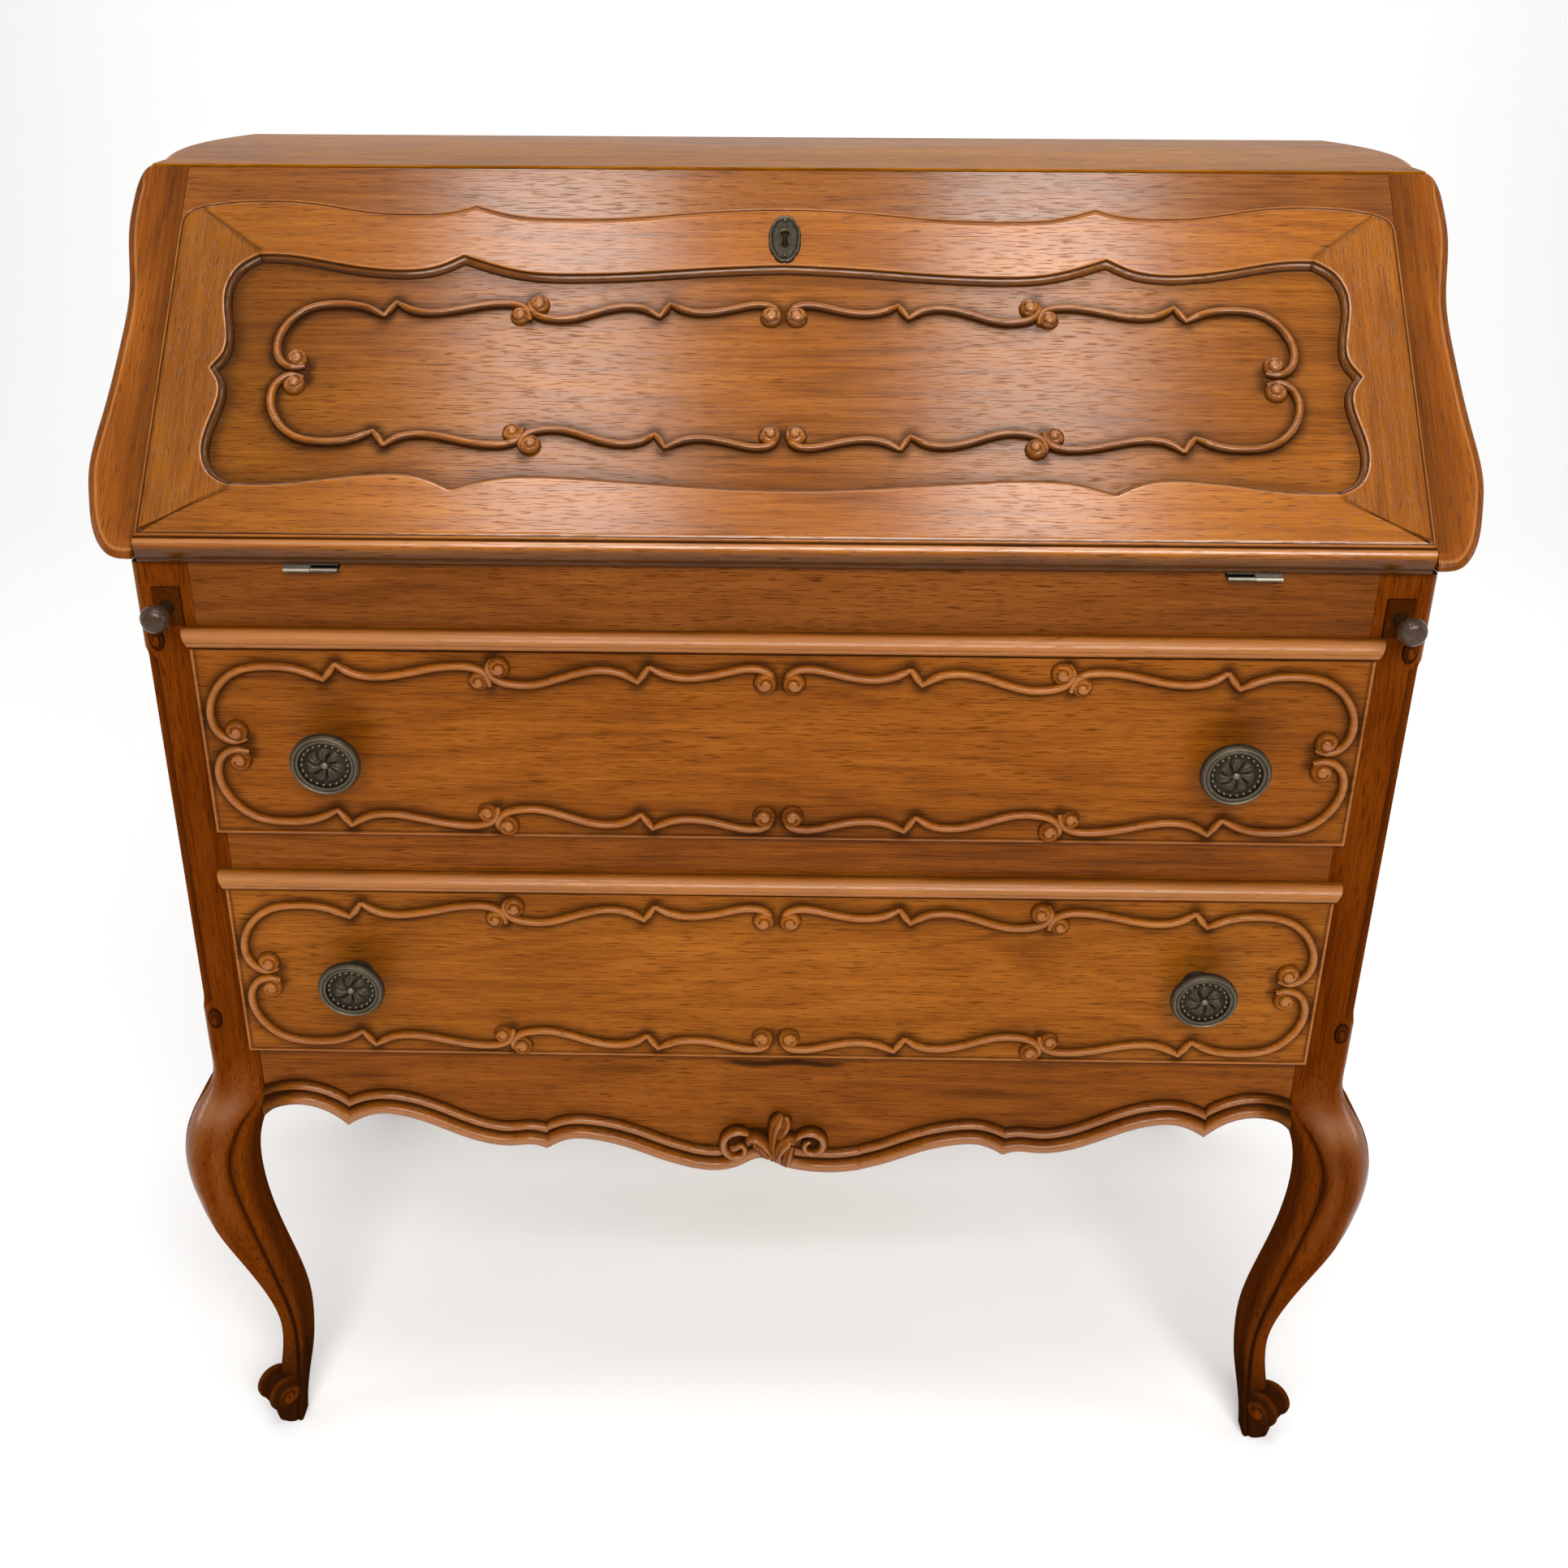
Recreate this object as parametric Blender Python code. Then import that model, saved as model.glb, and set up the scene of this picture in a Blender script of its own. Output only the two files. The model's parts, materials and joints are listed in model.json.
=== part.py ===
"""Slope-front secretary desk in walnut, Louis XV style: carcass on cabriole legs, a fall that hinges down onto two
pull-out lopers, two long drawers, and a fitted interior with three small drawers.

Units are metres. The desk is modelled with its front stile plane at y = 0, the floor at z = 0 and x = 0 on the
centre line, under one empty that moves it back so that the whole desk is centred on the origin.
"""
from math import cos, pi, sin, sqrt

import bmesh
import bpy
import numpy as np
from mathutils import Matrix, Vector

MM = 0.001
GAP = 0.3 * MM              # clearance left between pieces that touch

# Carcass
CASE_HALF = 0.460           # half width over the front stiles
STILE_WIDTH = 0.041
STILE_DEPTH = 0.045
CASE_DEPTH = 0.470          # front plane to the back of the rear legs
WAIST_Z = 0.7985            # top of the lower case, level with the writing floor
TOP_Z = 1.042
TOP_THICK = 0.021
SIDE_BOW = 0.018            # how far the sides swell in plan
REAR_LEG_DEPTH = 0.040
OPENING_HALF = CASE_HALF - STILE_WIDTH
FRONT_TO_CENTRE = 0.21642   # front plane to the middle of the overall depth

# Rails and drawers
HINGE_RAIL_Z = (0.7490, WAIST_Z)
MIDDLE_RAIL_Z = (0.5515, 0.5905)
APRON_TOP_Z = 0.3935
RAIL_THICK = 0.022
DRAWER_HALF = 0.4232
DRAWER_FACE_Z = ((0.5875, 0.7361), (0.3902, 0.5387))
LIP_HALF = 0.4259
FACE_PROUD = 0.008          # how far a drawer front stands before the stiles
DRAWER_BLOCK = 0.0140       # back of a drawer front, measured from the front plane
DRAWER_SIDES_X = (0.4045, 0.4145)
DRAWER_END = 0.4250
DRAWER_BOARD = 0.007        # drawer bottoms
KNOB_X = 0.3274

# Slope: local x across, t up the slope from the fall's lower quirk, n outward from the fall's face
SLOPE_ANGLE = pi / 4
QUIRK = Vector((0.0, -0.0064, 0.8205))
HINGE_T = -0.0181
HINGE_N = -0.0158
FALL_HALF = 0.4505
FALL_THICK = 0.018
FALL_BODY_TOP = 0.2622      # where the fall's full thickness ends below the fixed rail
LIP_THICK = 0.004
PANEL_SUNK = 0.0092
PANEL_HOLE_T = (0.034, 0.238)
PANEL_HOLE_HALF = 0.4165
CHEEK_INNER = 0.4535        # inner edge of the fixed slope stiles
CHEEK_FACE_N = -0.004
CHEEK_DEPTH = 0.040         # measured level, front to back
REBATE_INNER = 0.4340
TOP_RAIL_LOW = 0.2640
TOP_RAIL_BACK_N = -0.0318

# Fittings
LOPER_X = 0.437
LOPER_SIZE = (0.020, 0.028)
LOPER_TOP = 0.7804
LOPER_LENGTH = 0.300
HINGE_X = 0.330
HINGE_LENGTH = 0.038
KNUCKLE_RADIUS = 0.0034
LEAF_THICK = 0.0014
LOCK_T = 0.249
INTERIOR_HALF = 0.4575
INTERIOR_FRONT = 0.245
INTERIOR_BACK = 0.452
DIVIDER_X = 0.1525
DIVIDER_THICK = 0.012
SMALL_DRAWER_TOP = 0.874
SMALL_WALL = 0.007
SMALL_FRONT = 0.010
SMALL_FLOOR = 0.005
SHELF_Z = (0.8760, 0.8870)
BOARD_THICK = 0.015         # dust board and bottom board
BACK_THICK = 0.008
GUIDE_LOW = 0.7400
LINING_HALF = 0.4480        # reach of the floor and guides behind the stiles


# Curves

def natural_spline(knots, values, where):
    """Natural cubic spline through (knots, values), read at `where`."""
    x = np.asarray(knots, float)
    y = np.asarray(values, float)
    h = np.diff(x)
    n = len(x)
    system = np.eye(n)
    right = np.zeros(n)
    for i in range(1, n - 1):
        system[i, i - 1:i + 2] = h[i - 1], 2 * (h[i - 1] + h[i]), h[i]
        right[i] = 6 * ((y[i + 1] - y[i]) / h[i] - (y[i] - y[i - 1]) / h[i - 1])
    bend = np.linalg.solve(system, right)
    where = np.asarray(where, float)
    i = np.clip(np.searchsorted(x, where) - 1, 0, n - 2)
    a = (x[i + 1] - where) / h[i]
    b = (where - x[i]) / h[i]
    cubic = ((a ** 3 - a) * bend[i] + (b ** 3 - b) * bend[i + 1]) * h[i] ** 2 / 6
    return a * y[i] + b * y[i + 1] + cubic


def curve_through(points, count):
    """`count` points, evenly spaced, on a smooth curve through 2-D points given in millimetres."""
    p = np.array(points, float) * MM
    chord = np.concatenate([[0], np.cumsum(np.linalg.norm(np.diff(p, axis=0), axis=1))])
    fine = np.linspace(0, chord[-1], 40 * len(p))
    dense = np.stack([natural_spline(chord, p[:, k], fine) for k in (0, 1)], 1)
    run = np.concatenate([[0], np.cumsum(np.linalg.norm(np.diff(dense, axis=0), axis=1))])
    even = np.linspace(0, run[-1], count)
    return np.stack([np.interp(even, run, dense[:, k]) for k in (0, 1)], 1)


def joined(*runs):
    """Runs that share their end points, as one list of points."""
    parts = [runs[0]] + [run[1:] for run in runs[1:]]
    return np.concatenate(parts)


def mirrored(run):
    """A half outline from the centre line outwards, made whole from left to right."""
    left = run[::-1] * np.array([-1.0, 1.0])
    inner = run[1:] if abs(run[0, 0]) < 1e-6 else run
    return np.concatenate([left, inner])


def normals_of(points):
    """Unit normals to the left of an open 2-D run."""
    along = np.gradient(points, axis=0)
    along /= np.linalg.norm(along, axis=1)[:, None]
    return np.stack([-along[:, 1], along[:, 0]], 1)


# Meshes and objects

def closed_mesh(name, verts, faces):
    mesh = bpy.data.meshes.new(name)
    mesh.from_pydata([tuple(v) for v in verts], [], [tuple(f) for f in faces])
    bm = bmesh.new()
    bm.from_mesh(mesh)
    bmesh.ops.recalc_face_normals(bm, faces=bm.faces)
    bm.to_mesh(mesh)
    bm.free()
    mesh.validate()
    return mesh


def loft(name, rings):
    """A closed body through rings of 3-D points, capped at both ends."""
    rings = np.asarray(rings, float)
    count, sides = rings.shape[:2]
    faces = [tuple(range(sides))[::-1], tuple(range((count - 1) * sides, count * sides))]
    for r in range(count - 1):
        for s in range(sides):
            t = (s + 1) % sides
            faces.append((r * sides + s, r * sides + t, (r + 1) * sides + t, (r + 1) * sides + s))
    return closed_mesh(name, rings.reshape(-1, 3), faces)


def box_mesh(name, x, y, z):
    """A box from (low, high) pairs."""
    corners = [(x[i], y[j]) for i, j in ((0, 0), (1, 0), (1, 1), (0, 1))]
    return loft(name, [[(a, b, level) for a, b in corners] for level in z])


def prism(name, outline, low, high, plane="xy"):
    """A 2-D outline carried straight from `low` to `high` along the plane's normal."""
    def ring(level):
        if plane == "xy":
            return [(a, b, level) for a, b in outline]
        if plane == "xz":
            return [(a, level, b) for a, b in outline]
        return [(level, a, b) for a, b in outline]
    return loft(name, [ring(low), ring(high)])


def turned(name, profile, sides):
    """A body turned about the y axis from (radius, y) pairs in millimetres that start and end on the axis."""
    inner = [p for p in profile if p[0] > 0]
    ends = [profile[0][1] * MM, profile[-1][1] * MM]
    verts = [(0.0, ends[0], 0.0), (0.0, ends[1], 0.0)]
    for radius, y in inner:
        for s in range(sides):
            a = 2 * pi * s / sides
            verts.append((radius * MM * cos(a), y * MM, radius * MM * sin(a)))
    faces = []
    last = 2 + (len(inner) - 1) * sides
    for s in range(sides):
        t = (s + 1) % sides
        faces.append((0, 2 + s, 2 + t))
        faces.append((1, last + t, last + s))
        for r in range(len(inner) - 1):
            base = 2 + r * sides
            faces.append((base + s, base + t, base + sides + t, base + sides + s))
    return closed_mesh(name, verts, faces)


def merged(name, meshes):
    """Several closed meshes side by side in one, for a cutter."""
    bm = bmesh.new()
    for mesh in meshes:
        bm.from_mesh(mesh)
    whole = bpy.data.meshes.new(name)
    bm.to_mesh(whole)
    bm.free()
    return whole


def clear_scene():
    for obj in list(bpy.data.objects):
        bpy.data.objects.remove(obj, do_unlink=True)


def principled(name, colour, roughness, metallic=0.0):
    material = bpy.data.materials.new(name)
    material.use_nodes = True
    shader = material.node_tree.nodes["Principled BSDF"]
    shader.inputs["Base Color"].default_value = (*colour, 1.0)
    shader.inputs["Roughness"].default_value = roughness
    shader.inputs["Metallic"].default_value = metallic
    material.diffuse_color = (*colour, 1.0)
    return material


class Desk:
    """Holds the axis empties and materials, and puts meshes made in desk coordinates under them."""

    def __init__(self):
        self.root = self.axis("desk", Matrix.Translation((0, -FRONT_TO_CENTRE, 0)), None)
        self.walnut = principled("walnut", (0.36, 0.15, 0.045), 0.35)
        self.dark_walnut = principled("dark_walnut", (0.22, 0.085, 0.028), 0.4)
        self.oak = principled("oak", (0.42, 0.27, 0.13), 0.6)
        self.bronze = principled("bronze", (0.07, 0.06, 0.042), 0.45, 1.0)
        self.brass = principled("brass", (0.45, 0.33, 0.15), 0.4, 1.0)
        self.steel = principled("steel", (0.35, 0.34, 0.33), 0.4, 1.0)

    def axis(self, name, matrix, parent):
        empty = bpy.data.objects.new(name, None)
        bpy.context.scene.collection.objects.link(empty)
        empty.parent = parent
        empty.matrix_basis = matrix
        return empty

    def slide(self, name, x, y, z):
        """An empty on the line that a sliding piece moves along."""
        return self.axis(name, Matrix.Translation((x, y, z)), self.root)

    def add(self, name, mesh, material, parent=None):
        """A sub-part whose mesh is in desk coordinates, with its origin on its parent empty."""
        parent = parent or self.root
        obj = bpy.data.objects.new(name, mesh)
        bpy.context.scene.collection.objects.link(obj)
        obj.parent = parent
        if parent != self.root:
            mesh.transform(parent.matrix_basis.inverted())
        mesh.materials.clear()
        mesh.materials.append(material)
        return obj

    def helper(self, name, mesh, parent=None):
        """A hidden operand of a Boolean."""
        obj = self.add(name, mesh, self.walnut, parent)
        obj.hide_render = True
        obj.display_type = "WIRE"
        return obj

    def boolean(self, obj, operation, other):
        modifier = obj.modifiers.new(other.name, "BOOLEAN")
        modifier.operation = operation
        modifier.object = other
        modifier.solver = "EXACT"
        return obj


def slope_matrix():
    return Matrix.Translation(QUIRK) @ Matrix.Rotation(SLOPE_ANGLE, 4, "X")


def on_slope(mesh):
    """Slope coordinates (x, t, n) to desk coordinates."""
    mesh.transform(slope_matrix())
    return mesh


def slope_point(t, n):
    return slope_matrix() @ Vector((0, t, n))


def smooth(obj, angle=0.6):
    obj.data.shade_smooth()
    obj.data.set_sharp_from_angle(angle=angle)
    return obj


# Carved scroll cartouche, shared by the fall and the drawers

BEAD_WIDTH = 7.0            # millimetres, as are the runs below
BEAD_HEIGHT = 4.6
CARTOUCHE_HALF = (414.5, 64.5)
CARTOUCHE_BEADS = (
    ((4, 53), (8, 61), (18, 64.5), (36, 62), (63, 57), (84, 60), (94, 65)),
    ((93, 66), (98, 59), (103, 53)),
    ((102, 53), (113, 59.5), (130, 62), (155, 56.5), (180, 50), (194, 51.2), (203, 56), (205, 63)),
    ((213, 53), (215.5, 59.5), (227, 64), (248, 62.5), (286, 55.5), (308, 58), (320, 65)),
    ((319, 66), (324, 59), (330, 52)),
    ((329, 52.5), (346, 60), (368, 62.5), (392, 58), (409, 42), (414.5, 24), (410, 9.5), (400, 4.4), (391, 7.5)),
)
CARTOUCHE_BALLS = ((10, 54, 7), (202, 63.5, 7), (216.5, 52.5, 6.2), (397, 11.5, 6.8))


def bead_body(name, run, at):
    """A half-round bead along a 2-D run, sunk a little into the ground below it."""
    side = normals_of(run)
    half = BEAD_WIDTH * MM / 2
    section = ((-1.1, -1.0), (-0.5, 0.9), (0.5, 0.9), (1.1, -1.0))
    depth = 1.5 * MM
    rings = []
    for p, n in zip(run, side):
        ring = []
        for across, up in section:
            level = up * BEAD_HEIGHT * MM if up > 0 else -depth
            ring.append(at(*(p + n * across * half), level))
        rings.append(ring)
    return loft(name, rings)


def ball_body(name, centre, radius, at):
    """A low dome that ends a scroll."""
    levels = ((-0.25, 1.0), (0.75, 0.72))
    rings = []
    for up, out in levels:
        ring = []
        for s in range(8):
            a = 2 * pi * s / 8
            x = centre[0] + radius * out * cos(a)
            y = centre[1] + radius * out * sin(a)
            ring.append(at(x, y, up * radius * 0.9))
        rings.append(ring)
    return loft(name, rings)


def cartouche(half_length, half_height, at):
    """The carved border, one quarter mirrored about both centre lines, as three sets of bodies that don't meet."""
    scale = np.array([half_length, half_height]) / (np.array(CARTOUCHE_HALF) * MM)
    scrolls, notches, balls = [], [], []
    for mirror in ((1, 1), (-1, 1), (1, -1), (-1, -1)):
        flip = scale * np.array(mirror)
        for beads in CARTOUCHE_BEADS:
            notch = len(beads) == 3
            run = curve_through(beads, 3 if notch else 2 + len(beads)) * flip
            (notches if notch else scrolls).append(bead_body("bead", run, at))
        for u, v, radius in CARTOUCHE_BALLS:
            balls.append(ball_body("ball", np.array([u, v]) * MM * flip, radius * MM * scale[0], at))
    return [merged("carving", bodies) for bodies in (scrolls, notches, balls)]


def carve(desk, obj, name, sets, parent):
    """Fuse a cartouche's sets of bodies with the board that it is carved on."""
    for k, mesh in enumerate(sets):
        desk.boolean(obj, "UNION", desk.helper(f"{name}_carving_{k}", mesh, parent))


# Legs

# Each station of a leg: height, outer x, inner x, front y, back y, rounding of the outer front corner
LEG_STATIONS = (
    (0.000, 0.4435, 0.4205, -0.0205, 0.0000, 0.35),
    (0.014, 0.4455, 0.4195, -0.0210, 0.0020, 0.35),
    (0.035, 0.4420, 0.4170, -0.0150, 0.0080, 0.40),
    (0.065, 0.4370, 0.4120, -0.0075, 0.0150, 0.45),
    (0.095, 0.4350, 0.4100, -0.0045, 0.0200, 0.45),
    (0.125, 0.4390, 0.4105, -0.0065, 0.0210, 0.45),
    (0.165, 0.4535, 0.4175, -0.0130, 0.0200, 0.45),
    (0.205, 0.4715, 0.4275, -0.0210, 0.0200, 0.45),
    (0.250, 0.4850, 0.4360, -0.0270, 0.0240, 0.45),
    (0.290, 0.4895, 0.4355, -0.0280, 0.0340, 0.45),
    (0.325, 0.4835, 0.4225, -0.0210, 0.0430, 0.40),
    (0.350, 0.4715, 0.4190, -0.0100, 0.0450, 0.30),
    (0.372, 0.4610, 0.4190, -0.0010, 0.0450, 0.20),
    (0.400, 0.4600, 0.4190, 0.0000, 0.0450, 0.14),
    (WAIST_Z, 0.4600, 0.4190, 0.0000, 0.0450, 0.14),
)
LEG_LEVELS = (0.0, 0.014, 0.030, 0.050, 0.072, 0.098, 0.122, 0.146, 0.170, 0.196, 0.222, 0.250, 0.276, 0.300,
              0.322, 0.340, 0.354, 0.368, 0.385, WAIST_Z)
STILE_FOOT = 0.385          # above this a leg is a straight stile
EDGE_BEAD = 0.007           # the small bead along a leg's inner front edge
EDGE_GROOVE = 0.0022
SLIM_LEG = 0.030            # a leg narrower than this has its bead scaled down
BACK_EASING = 0.10          # easing of a leg's back corners, as a share of its thickness
TOE = Vector((-0.4450, -0.0225, 0.0285))
SCROLL_RADIUS = 0.0165
SCROLL_LENGTH = 0.030
SCROLL_AXIS = Vector((1, -1, 0)).normalized()


def leg_section(outer, inner, front, back, rounding):
    """One level of a leg, for the left one seen from above: a beaded inner edge, an arc at the outer front corner."""
    thick = min(outer - inner, back - front)
    r = rounding * thick
    ease = BACK_EASING * thick
    bead = EDGE_BEAD * min(1.0, (outer - inner) / SLIM_LEG)
    edge = [
        (inner + bead + EDGE_GROOVE, front), (inner + bead, front + EDGE_GROOVE),
        (inner + 0.5 * bead, front + 0.2 * EDGE_GROOVE), (inner, front + 0.8 * bead),
        (inner, back - ease), (inner + ease, back), (outer - ease, back), (outer, back - ease),
    ]
    for k in range(4):
        a = pi / 2 * k / 3
        edge.append((outer - r + r * cos(a), front + r - r * sin(a)))
    return [(-x, y) for x, y in edge]


def leg_mesh(name, stations):
    """A corner stile and its cabriole leg in one, lofted up through the stations, for the left front."""
    table = np.array(stations)
    rings = []
    for z in LEG_LEVELS:
        sizes = [float(natural_spline(table[:, 0], table[:, k], z)) for k in range(1, 6)]
        if z >= STILE_FOOT:
            sizes = list(table[-1, 1:])
        rings.append([(x, y, z) for x, y in leg_section(*sizes)])
    return loft(name, rings)


def scroll_mesh(name, centre):
    """The rolled toe: a short drum across the leg's diagonal, its ends a little domed."""
    along = SCROLL_AXIS
    up = Vector((0, 0, 1))
    out = up.cross(along)
    rings = []
    for place, scale in ((-0.5, 0.72), (-0.40, 1.0), (0.40, 1.0), (0.5, 0.72)):
        ring = []
        for s in range(14):
            a = 2 * pi * s / 14
            ring.append(centre + along * place * SCROLL_LENGTH
                        + (up * sin(a) + out * cos(a)) * SCROLL_RADIUS * scale)
        rings.append(ring)
    return loft(name, rings)


def flipped_x(mesh):
    mesh.transform(Matrix.Scale(-1, 4, (1, 0, 0)))
    mesh.flip_normals()
    return mesh


def loper_slot(side):
    x = side * LOPER_X
    wide = LOPER_SIZE[0] / 2 + GAP
    z = (LOPER_TOP - LOPER_SIZE[1] - GAP, LOPER_TOP + GAP)
    return box_mesh("loper_slot", (x - wide, x + wide), (-0.02, STILE_DEPTH + 0.02), z)


def front_legs(desk):
    for side, word in ((-1, "left"), (1, "right")):
        leg = leg_mesh("front_leg", LEG_STATIONS)
        toe = scroll_mesh("toe", TOE)
        if side > 0:
            flipped_x(leg)
            flipped_x(toe)
        obj = desk.add(f"front_leg_{word}", leg, desk.dark_walnut)
        desk.boolean(obj, "UNION", desk.helper(f"toe_{word}", toe))
        desk.boolean(obj, "DIFFERENCE", desk.helper(f"slot_{word}", loper_slot(side)))
        smooth(obj)


def back_legs(desk):
    """Rear legs curve sideways like the front ones but stay flat behind, so that the desk stands to a wall."""
    stations = []
    for z, outer, inner, front, back, rounding in LEG_STATIONS:
        depth = min(back - front, REAR_LEG_DEPTH)
        stations.append((z, outer, inner, 0.0, depth, 0.2))
    for side, word in ((-1, "left"), (1, "right")):
        leg = leg_mesh("back_leg", stations)
        leg.transform(Matrix.Translation((0, CASE_DEPTH, 0)) @ Matrix.Scale(-1, 4, (0, 1, 0)))
        leg.flip_normals()
        if side > 0:
            flipped_x(leg)
        smooth(desk.add(f"back_leg_{word}", leg, desk.dark_walnut))


# Carcass

CHEEK_CONTOUR = ((456, 804), (470, 806), (483, 818), (491, 839), (494, 853), (491, 885), (486, 930), (485.5, 958),
                 (490, 981), (493.5, 1000), (493.3, 1020), (490.5, 1033.5), (484, 1040.5), (477, 1042))
CHEEK_EDGE = ((0.0, 4.5), (2.0, 1.6), (6.0, 0.0))   # round-over: distance back from the face, set-in, millimetres
APRON_RUNS = (
    ((0, 285), (30, 279.5), (50, 277), (70, 278.5), (90, 284.5), (120, 297), (152, 305.3), (168, 305.3),
     (180, 300.5), (188, 295.5)),
    ((188, 295.5), (198, 299), (214, 298), (235, 299.5), (258, 307), (285, 319.5), (308, 327), (325, 328),
     (341, 322.5), (351, 316)),
    ((351, 316), (360, 324.5), (372, 332), (388, 335.3), (405, 333.5), (418.7, 329)),
)
APRON_SECTION = ((-6.5, 0.8), (-9.0, 6.0), (-1.0, 12.6), (-4.0, 16.0), (1.0, 21.0))
TOP_PLAN = ((261.3, 492.5), (330, 506.5), (375, 508.5), (430, 501), (475.5, 486))
TOP_EDGE = ((1.0210, 3.0), (1.0240, 0.0), (1.0300, 0.0), (1.0365, 3.0), (1.0400, 7.0), (TOP_Z, 13.0))


def cheek_front(z):
    """The y of the slope stiles' face at height z."""
    return QUIRK.y + (z - QUIRK.z) - CHEEK_FACE_N * sqrt(2)


def slope_stiles(desk):
    """The fixed stiles beside the fall, waved along their outer edges, with a rebate that the fall shuts on."""
    contour = curve_through(CHEEK_CONTOUR, 26)
    inward = normals_of(contour)
    rebate_front = (FALL_THICK + CHEEK_FACE_N) * sqrt(2) + 0.0010
    for side, word in ((-1, "left"), (1, "right")):
        rings = []
        for back, inset in CHEEK_EDGE + ((CHEEK_DEPTH / MM, 0.0),):
            edge = contour + inward * inset * MM
            outline = [(CHEEK_INNER, edge[0, 1])] + [tuple(p) for p in edge] + [(CHEEK_INNER, edge[-1, 1])]
            rings.append([(side * x, cheek_front(z) + back * MM, z) for x, z in outline])
        obj = desk.add(f"slope_stile_{word}", loft("slope_stile", rings), desk.walnut)
        corners = ((REBATE_INNER, 0.806), (0.474, 0.806), (0.474, 1.0415), (REBATE_INNER, 1.0415))
        ledge = [[(side * x, cheek_front(z) + back, z) for x, z in corners] for back in (rebate_front, CHEEK_DEPTH)]
        desk.boolean(obj, "UNION", desk.helper(f"rebate_{word}", loft("rebate", ledge)))
        smooth(obj)


def rail_section(back_n):
    """The fixed rail's section (y, z): its face in the slope, its top level with the top board."""
    face_n = CHEEK_FACE_N - GAP
    rise = (TOP_Z - QUIRK.z) * sqrt(2)
    corners = ((TOP_RAIL_LOW, back_n), (TOP_RAIL_LOW, face_n), (rise - face_n, face_n), (rise - back_n, back_n))
    points = [slope_point(t, n) for t, n in corners]
    return [(p.y, p.z) for p in points]


def top_rail(desk):
    """The fixed rail above the fall, its lower edge mortised for the lock bolt, its thin ends on the rebates."""
    half = REBATE_INNER - GAP
    obj = desk.add("top_rail", prism("top_rail", rail_section(TOP_RAIL_BACK_N), -half, half, "yz"), desk.walnut)
    mortise = box_mesh("mortise", (-0.0095, 0.0095), (TOP_RAIL_LOW - 0.01, TOP_RAIL_LOW + 0.011), (-0.0302, -0.0248))
    desk.boolean(obj, "DIFFERENCE", desk.helper("bolt_mortise", on_slope(mortise)))
    for side, word in ((-1, "left"), (1, "right")):
        end = prism("rail_end", rail_section(-FALL_THICK), side * (half - 0.004), side * (CHEEK_INNER - GAP), "yz")
        desk.boolean(obj, "UNION", desk.helper(f"rail_end_{word}", end))


def top_board(desk):
    half = curve_through([(w, y) for y, w in TOP_PLAN], 13)
    rings = []
    for z, inset in TOP_EDGE:
        right = [(w - inset * MM, y) for w, y in half]
        right[-1] = (right[-1][0], right[-1][1] - inset * MM * 0.3)
        rings.append([(x, y, z) for x, y in right] + [(-x, y, z) for x, y in right[::-1]])
    smooth(desk.add("top_board", loft("top_board", rings), desk.walnut))


def bowed(y, at_ends, bow):
    return at_ends + bow * sin(pi * min(max(y / CASE_DEPTH, 0.0), 1.0))


def lower_sides(desk):
    """Bowed side panels between the front and rear stiles, with a shaped lower edge."""
    front = STILE_DEPTH + GAP
    back = CASE_DEPTH - REAR_LEG_DEPTH - GAP
    inner, at_stiles, low_edge = LINING_HALF + 0.0005, 0.4560, 0.362
    for side, word in ((-1, "left"), (1, "right")):
        rings = []
        for k in range(13):
            w = k / 12
            y = front + (back - front) * w
            outer = bowed(y, at_stiles, 0.7 * SIDE_BOW)
            low = low_edge - 0.034 * sin(pi * w) ** 2 + 0.010 * sin(2 * pi * w) ** 2
            rings.append([(side * inner, y, low), (side * outer, y, low), (side * outer, y, WAIST_Z),
                          (side * inner, y, WAIST_Z)])
        smooth(desk.add(f"lower_side_{word}", loft("lower_side", rings), desk.walnut))


def upper_sides(desk):
    """Side boards beside the interior, cut to the slope in front, flat inside and bowed outside."""
    front = cheek_front(WAIST_Z) + CHEEK_DEPTH + 0.0005
    top = TOP_Z - TOP_THICK - GAP
    floor = WAIST_Z + GAP
    inner = INTERIOR_HALF + GAP
    brow = front + top - WAIST_Z
    at_ends = 0.4720
    for side, word in ((-1, "left"), (1, "right")):
        stops = [front + 0.004 + (brow - front - 0.004) * k / 8 for k in range(9)]
        stops += [brow + (CASE_DEPTH - brow) * k / 8 for k in range(1, 9)]
        rings = []
        for y in stops:
            high = min(top, WAIST_Z + y - front)
            outer = bowed(y, at_ends, SIDE_BOW)
            rings.append([(side * inner, y, floor), (side * outer, y, floor), (side * outer, y, high),
                          (side * inner, y, high)])
        smooth(desk.add(f"upper_side_{word}", loft("upper_side", rings), desk.walnut))


def rails(desk):
    half = OPENING_HALF - GAP
    hinge = desk.add("hinge_rail", box_mesh("hinge_rail", (-half, half), (0, RAIL_THICK), HINGE_RAIL_Z), desk.walnut)
    axis = slope_point(HINGE_T, HINGE_N)
    for side, word in ((-1, "left"), (1, "right")):
        wide = HINGE_LENGTH / 2 + GAP
        seat = box_mesh("seat", (side * HINGE_X - wide, side * HINGE_X + wide), (-0.01, 0.0205),
                        (axis.z - LEAF_THICK / 2 - GAP, WAIST_Z + 0.01))
        desk.boolean(hinge, "DIFFERENCE", desk.helper(f"hinge_seat_{word}", seat))
    desk.add("middle_rail", box_mesh("middle_rail", (-half, half), (0, RAIL_THICK), MIDDLE_RAIL_Z), desk.walnut)


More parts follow.
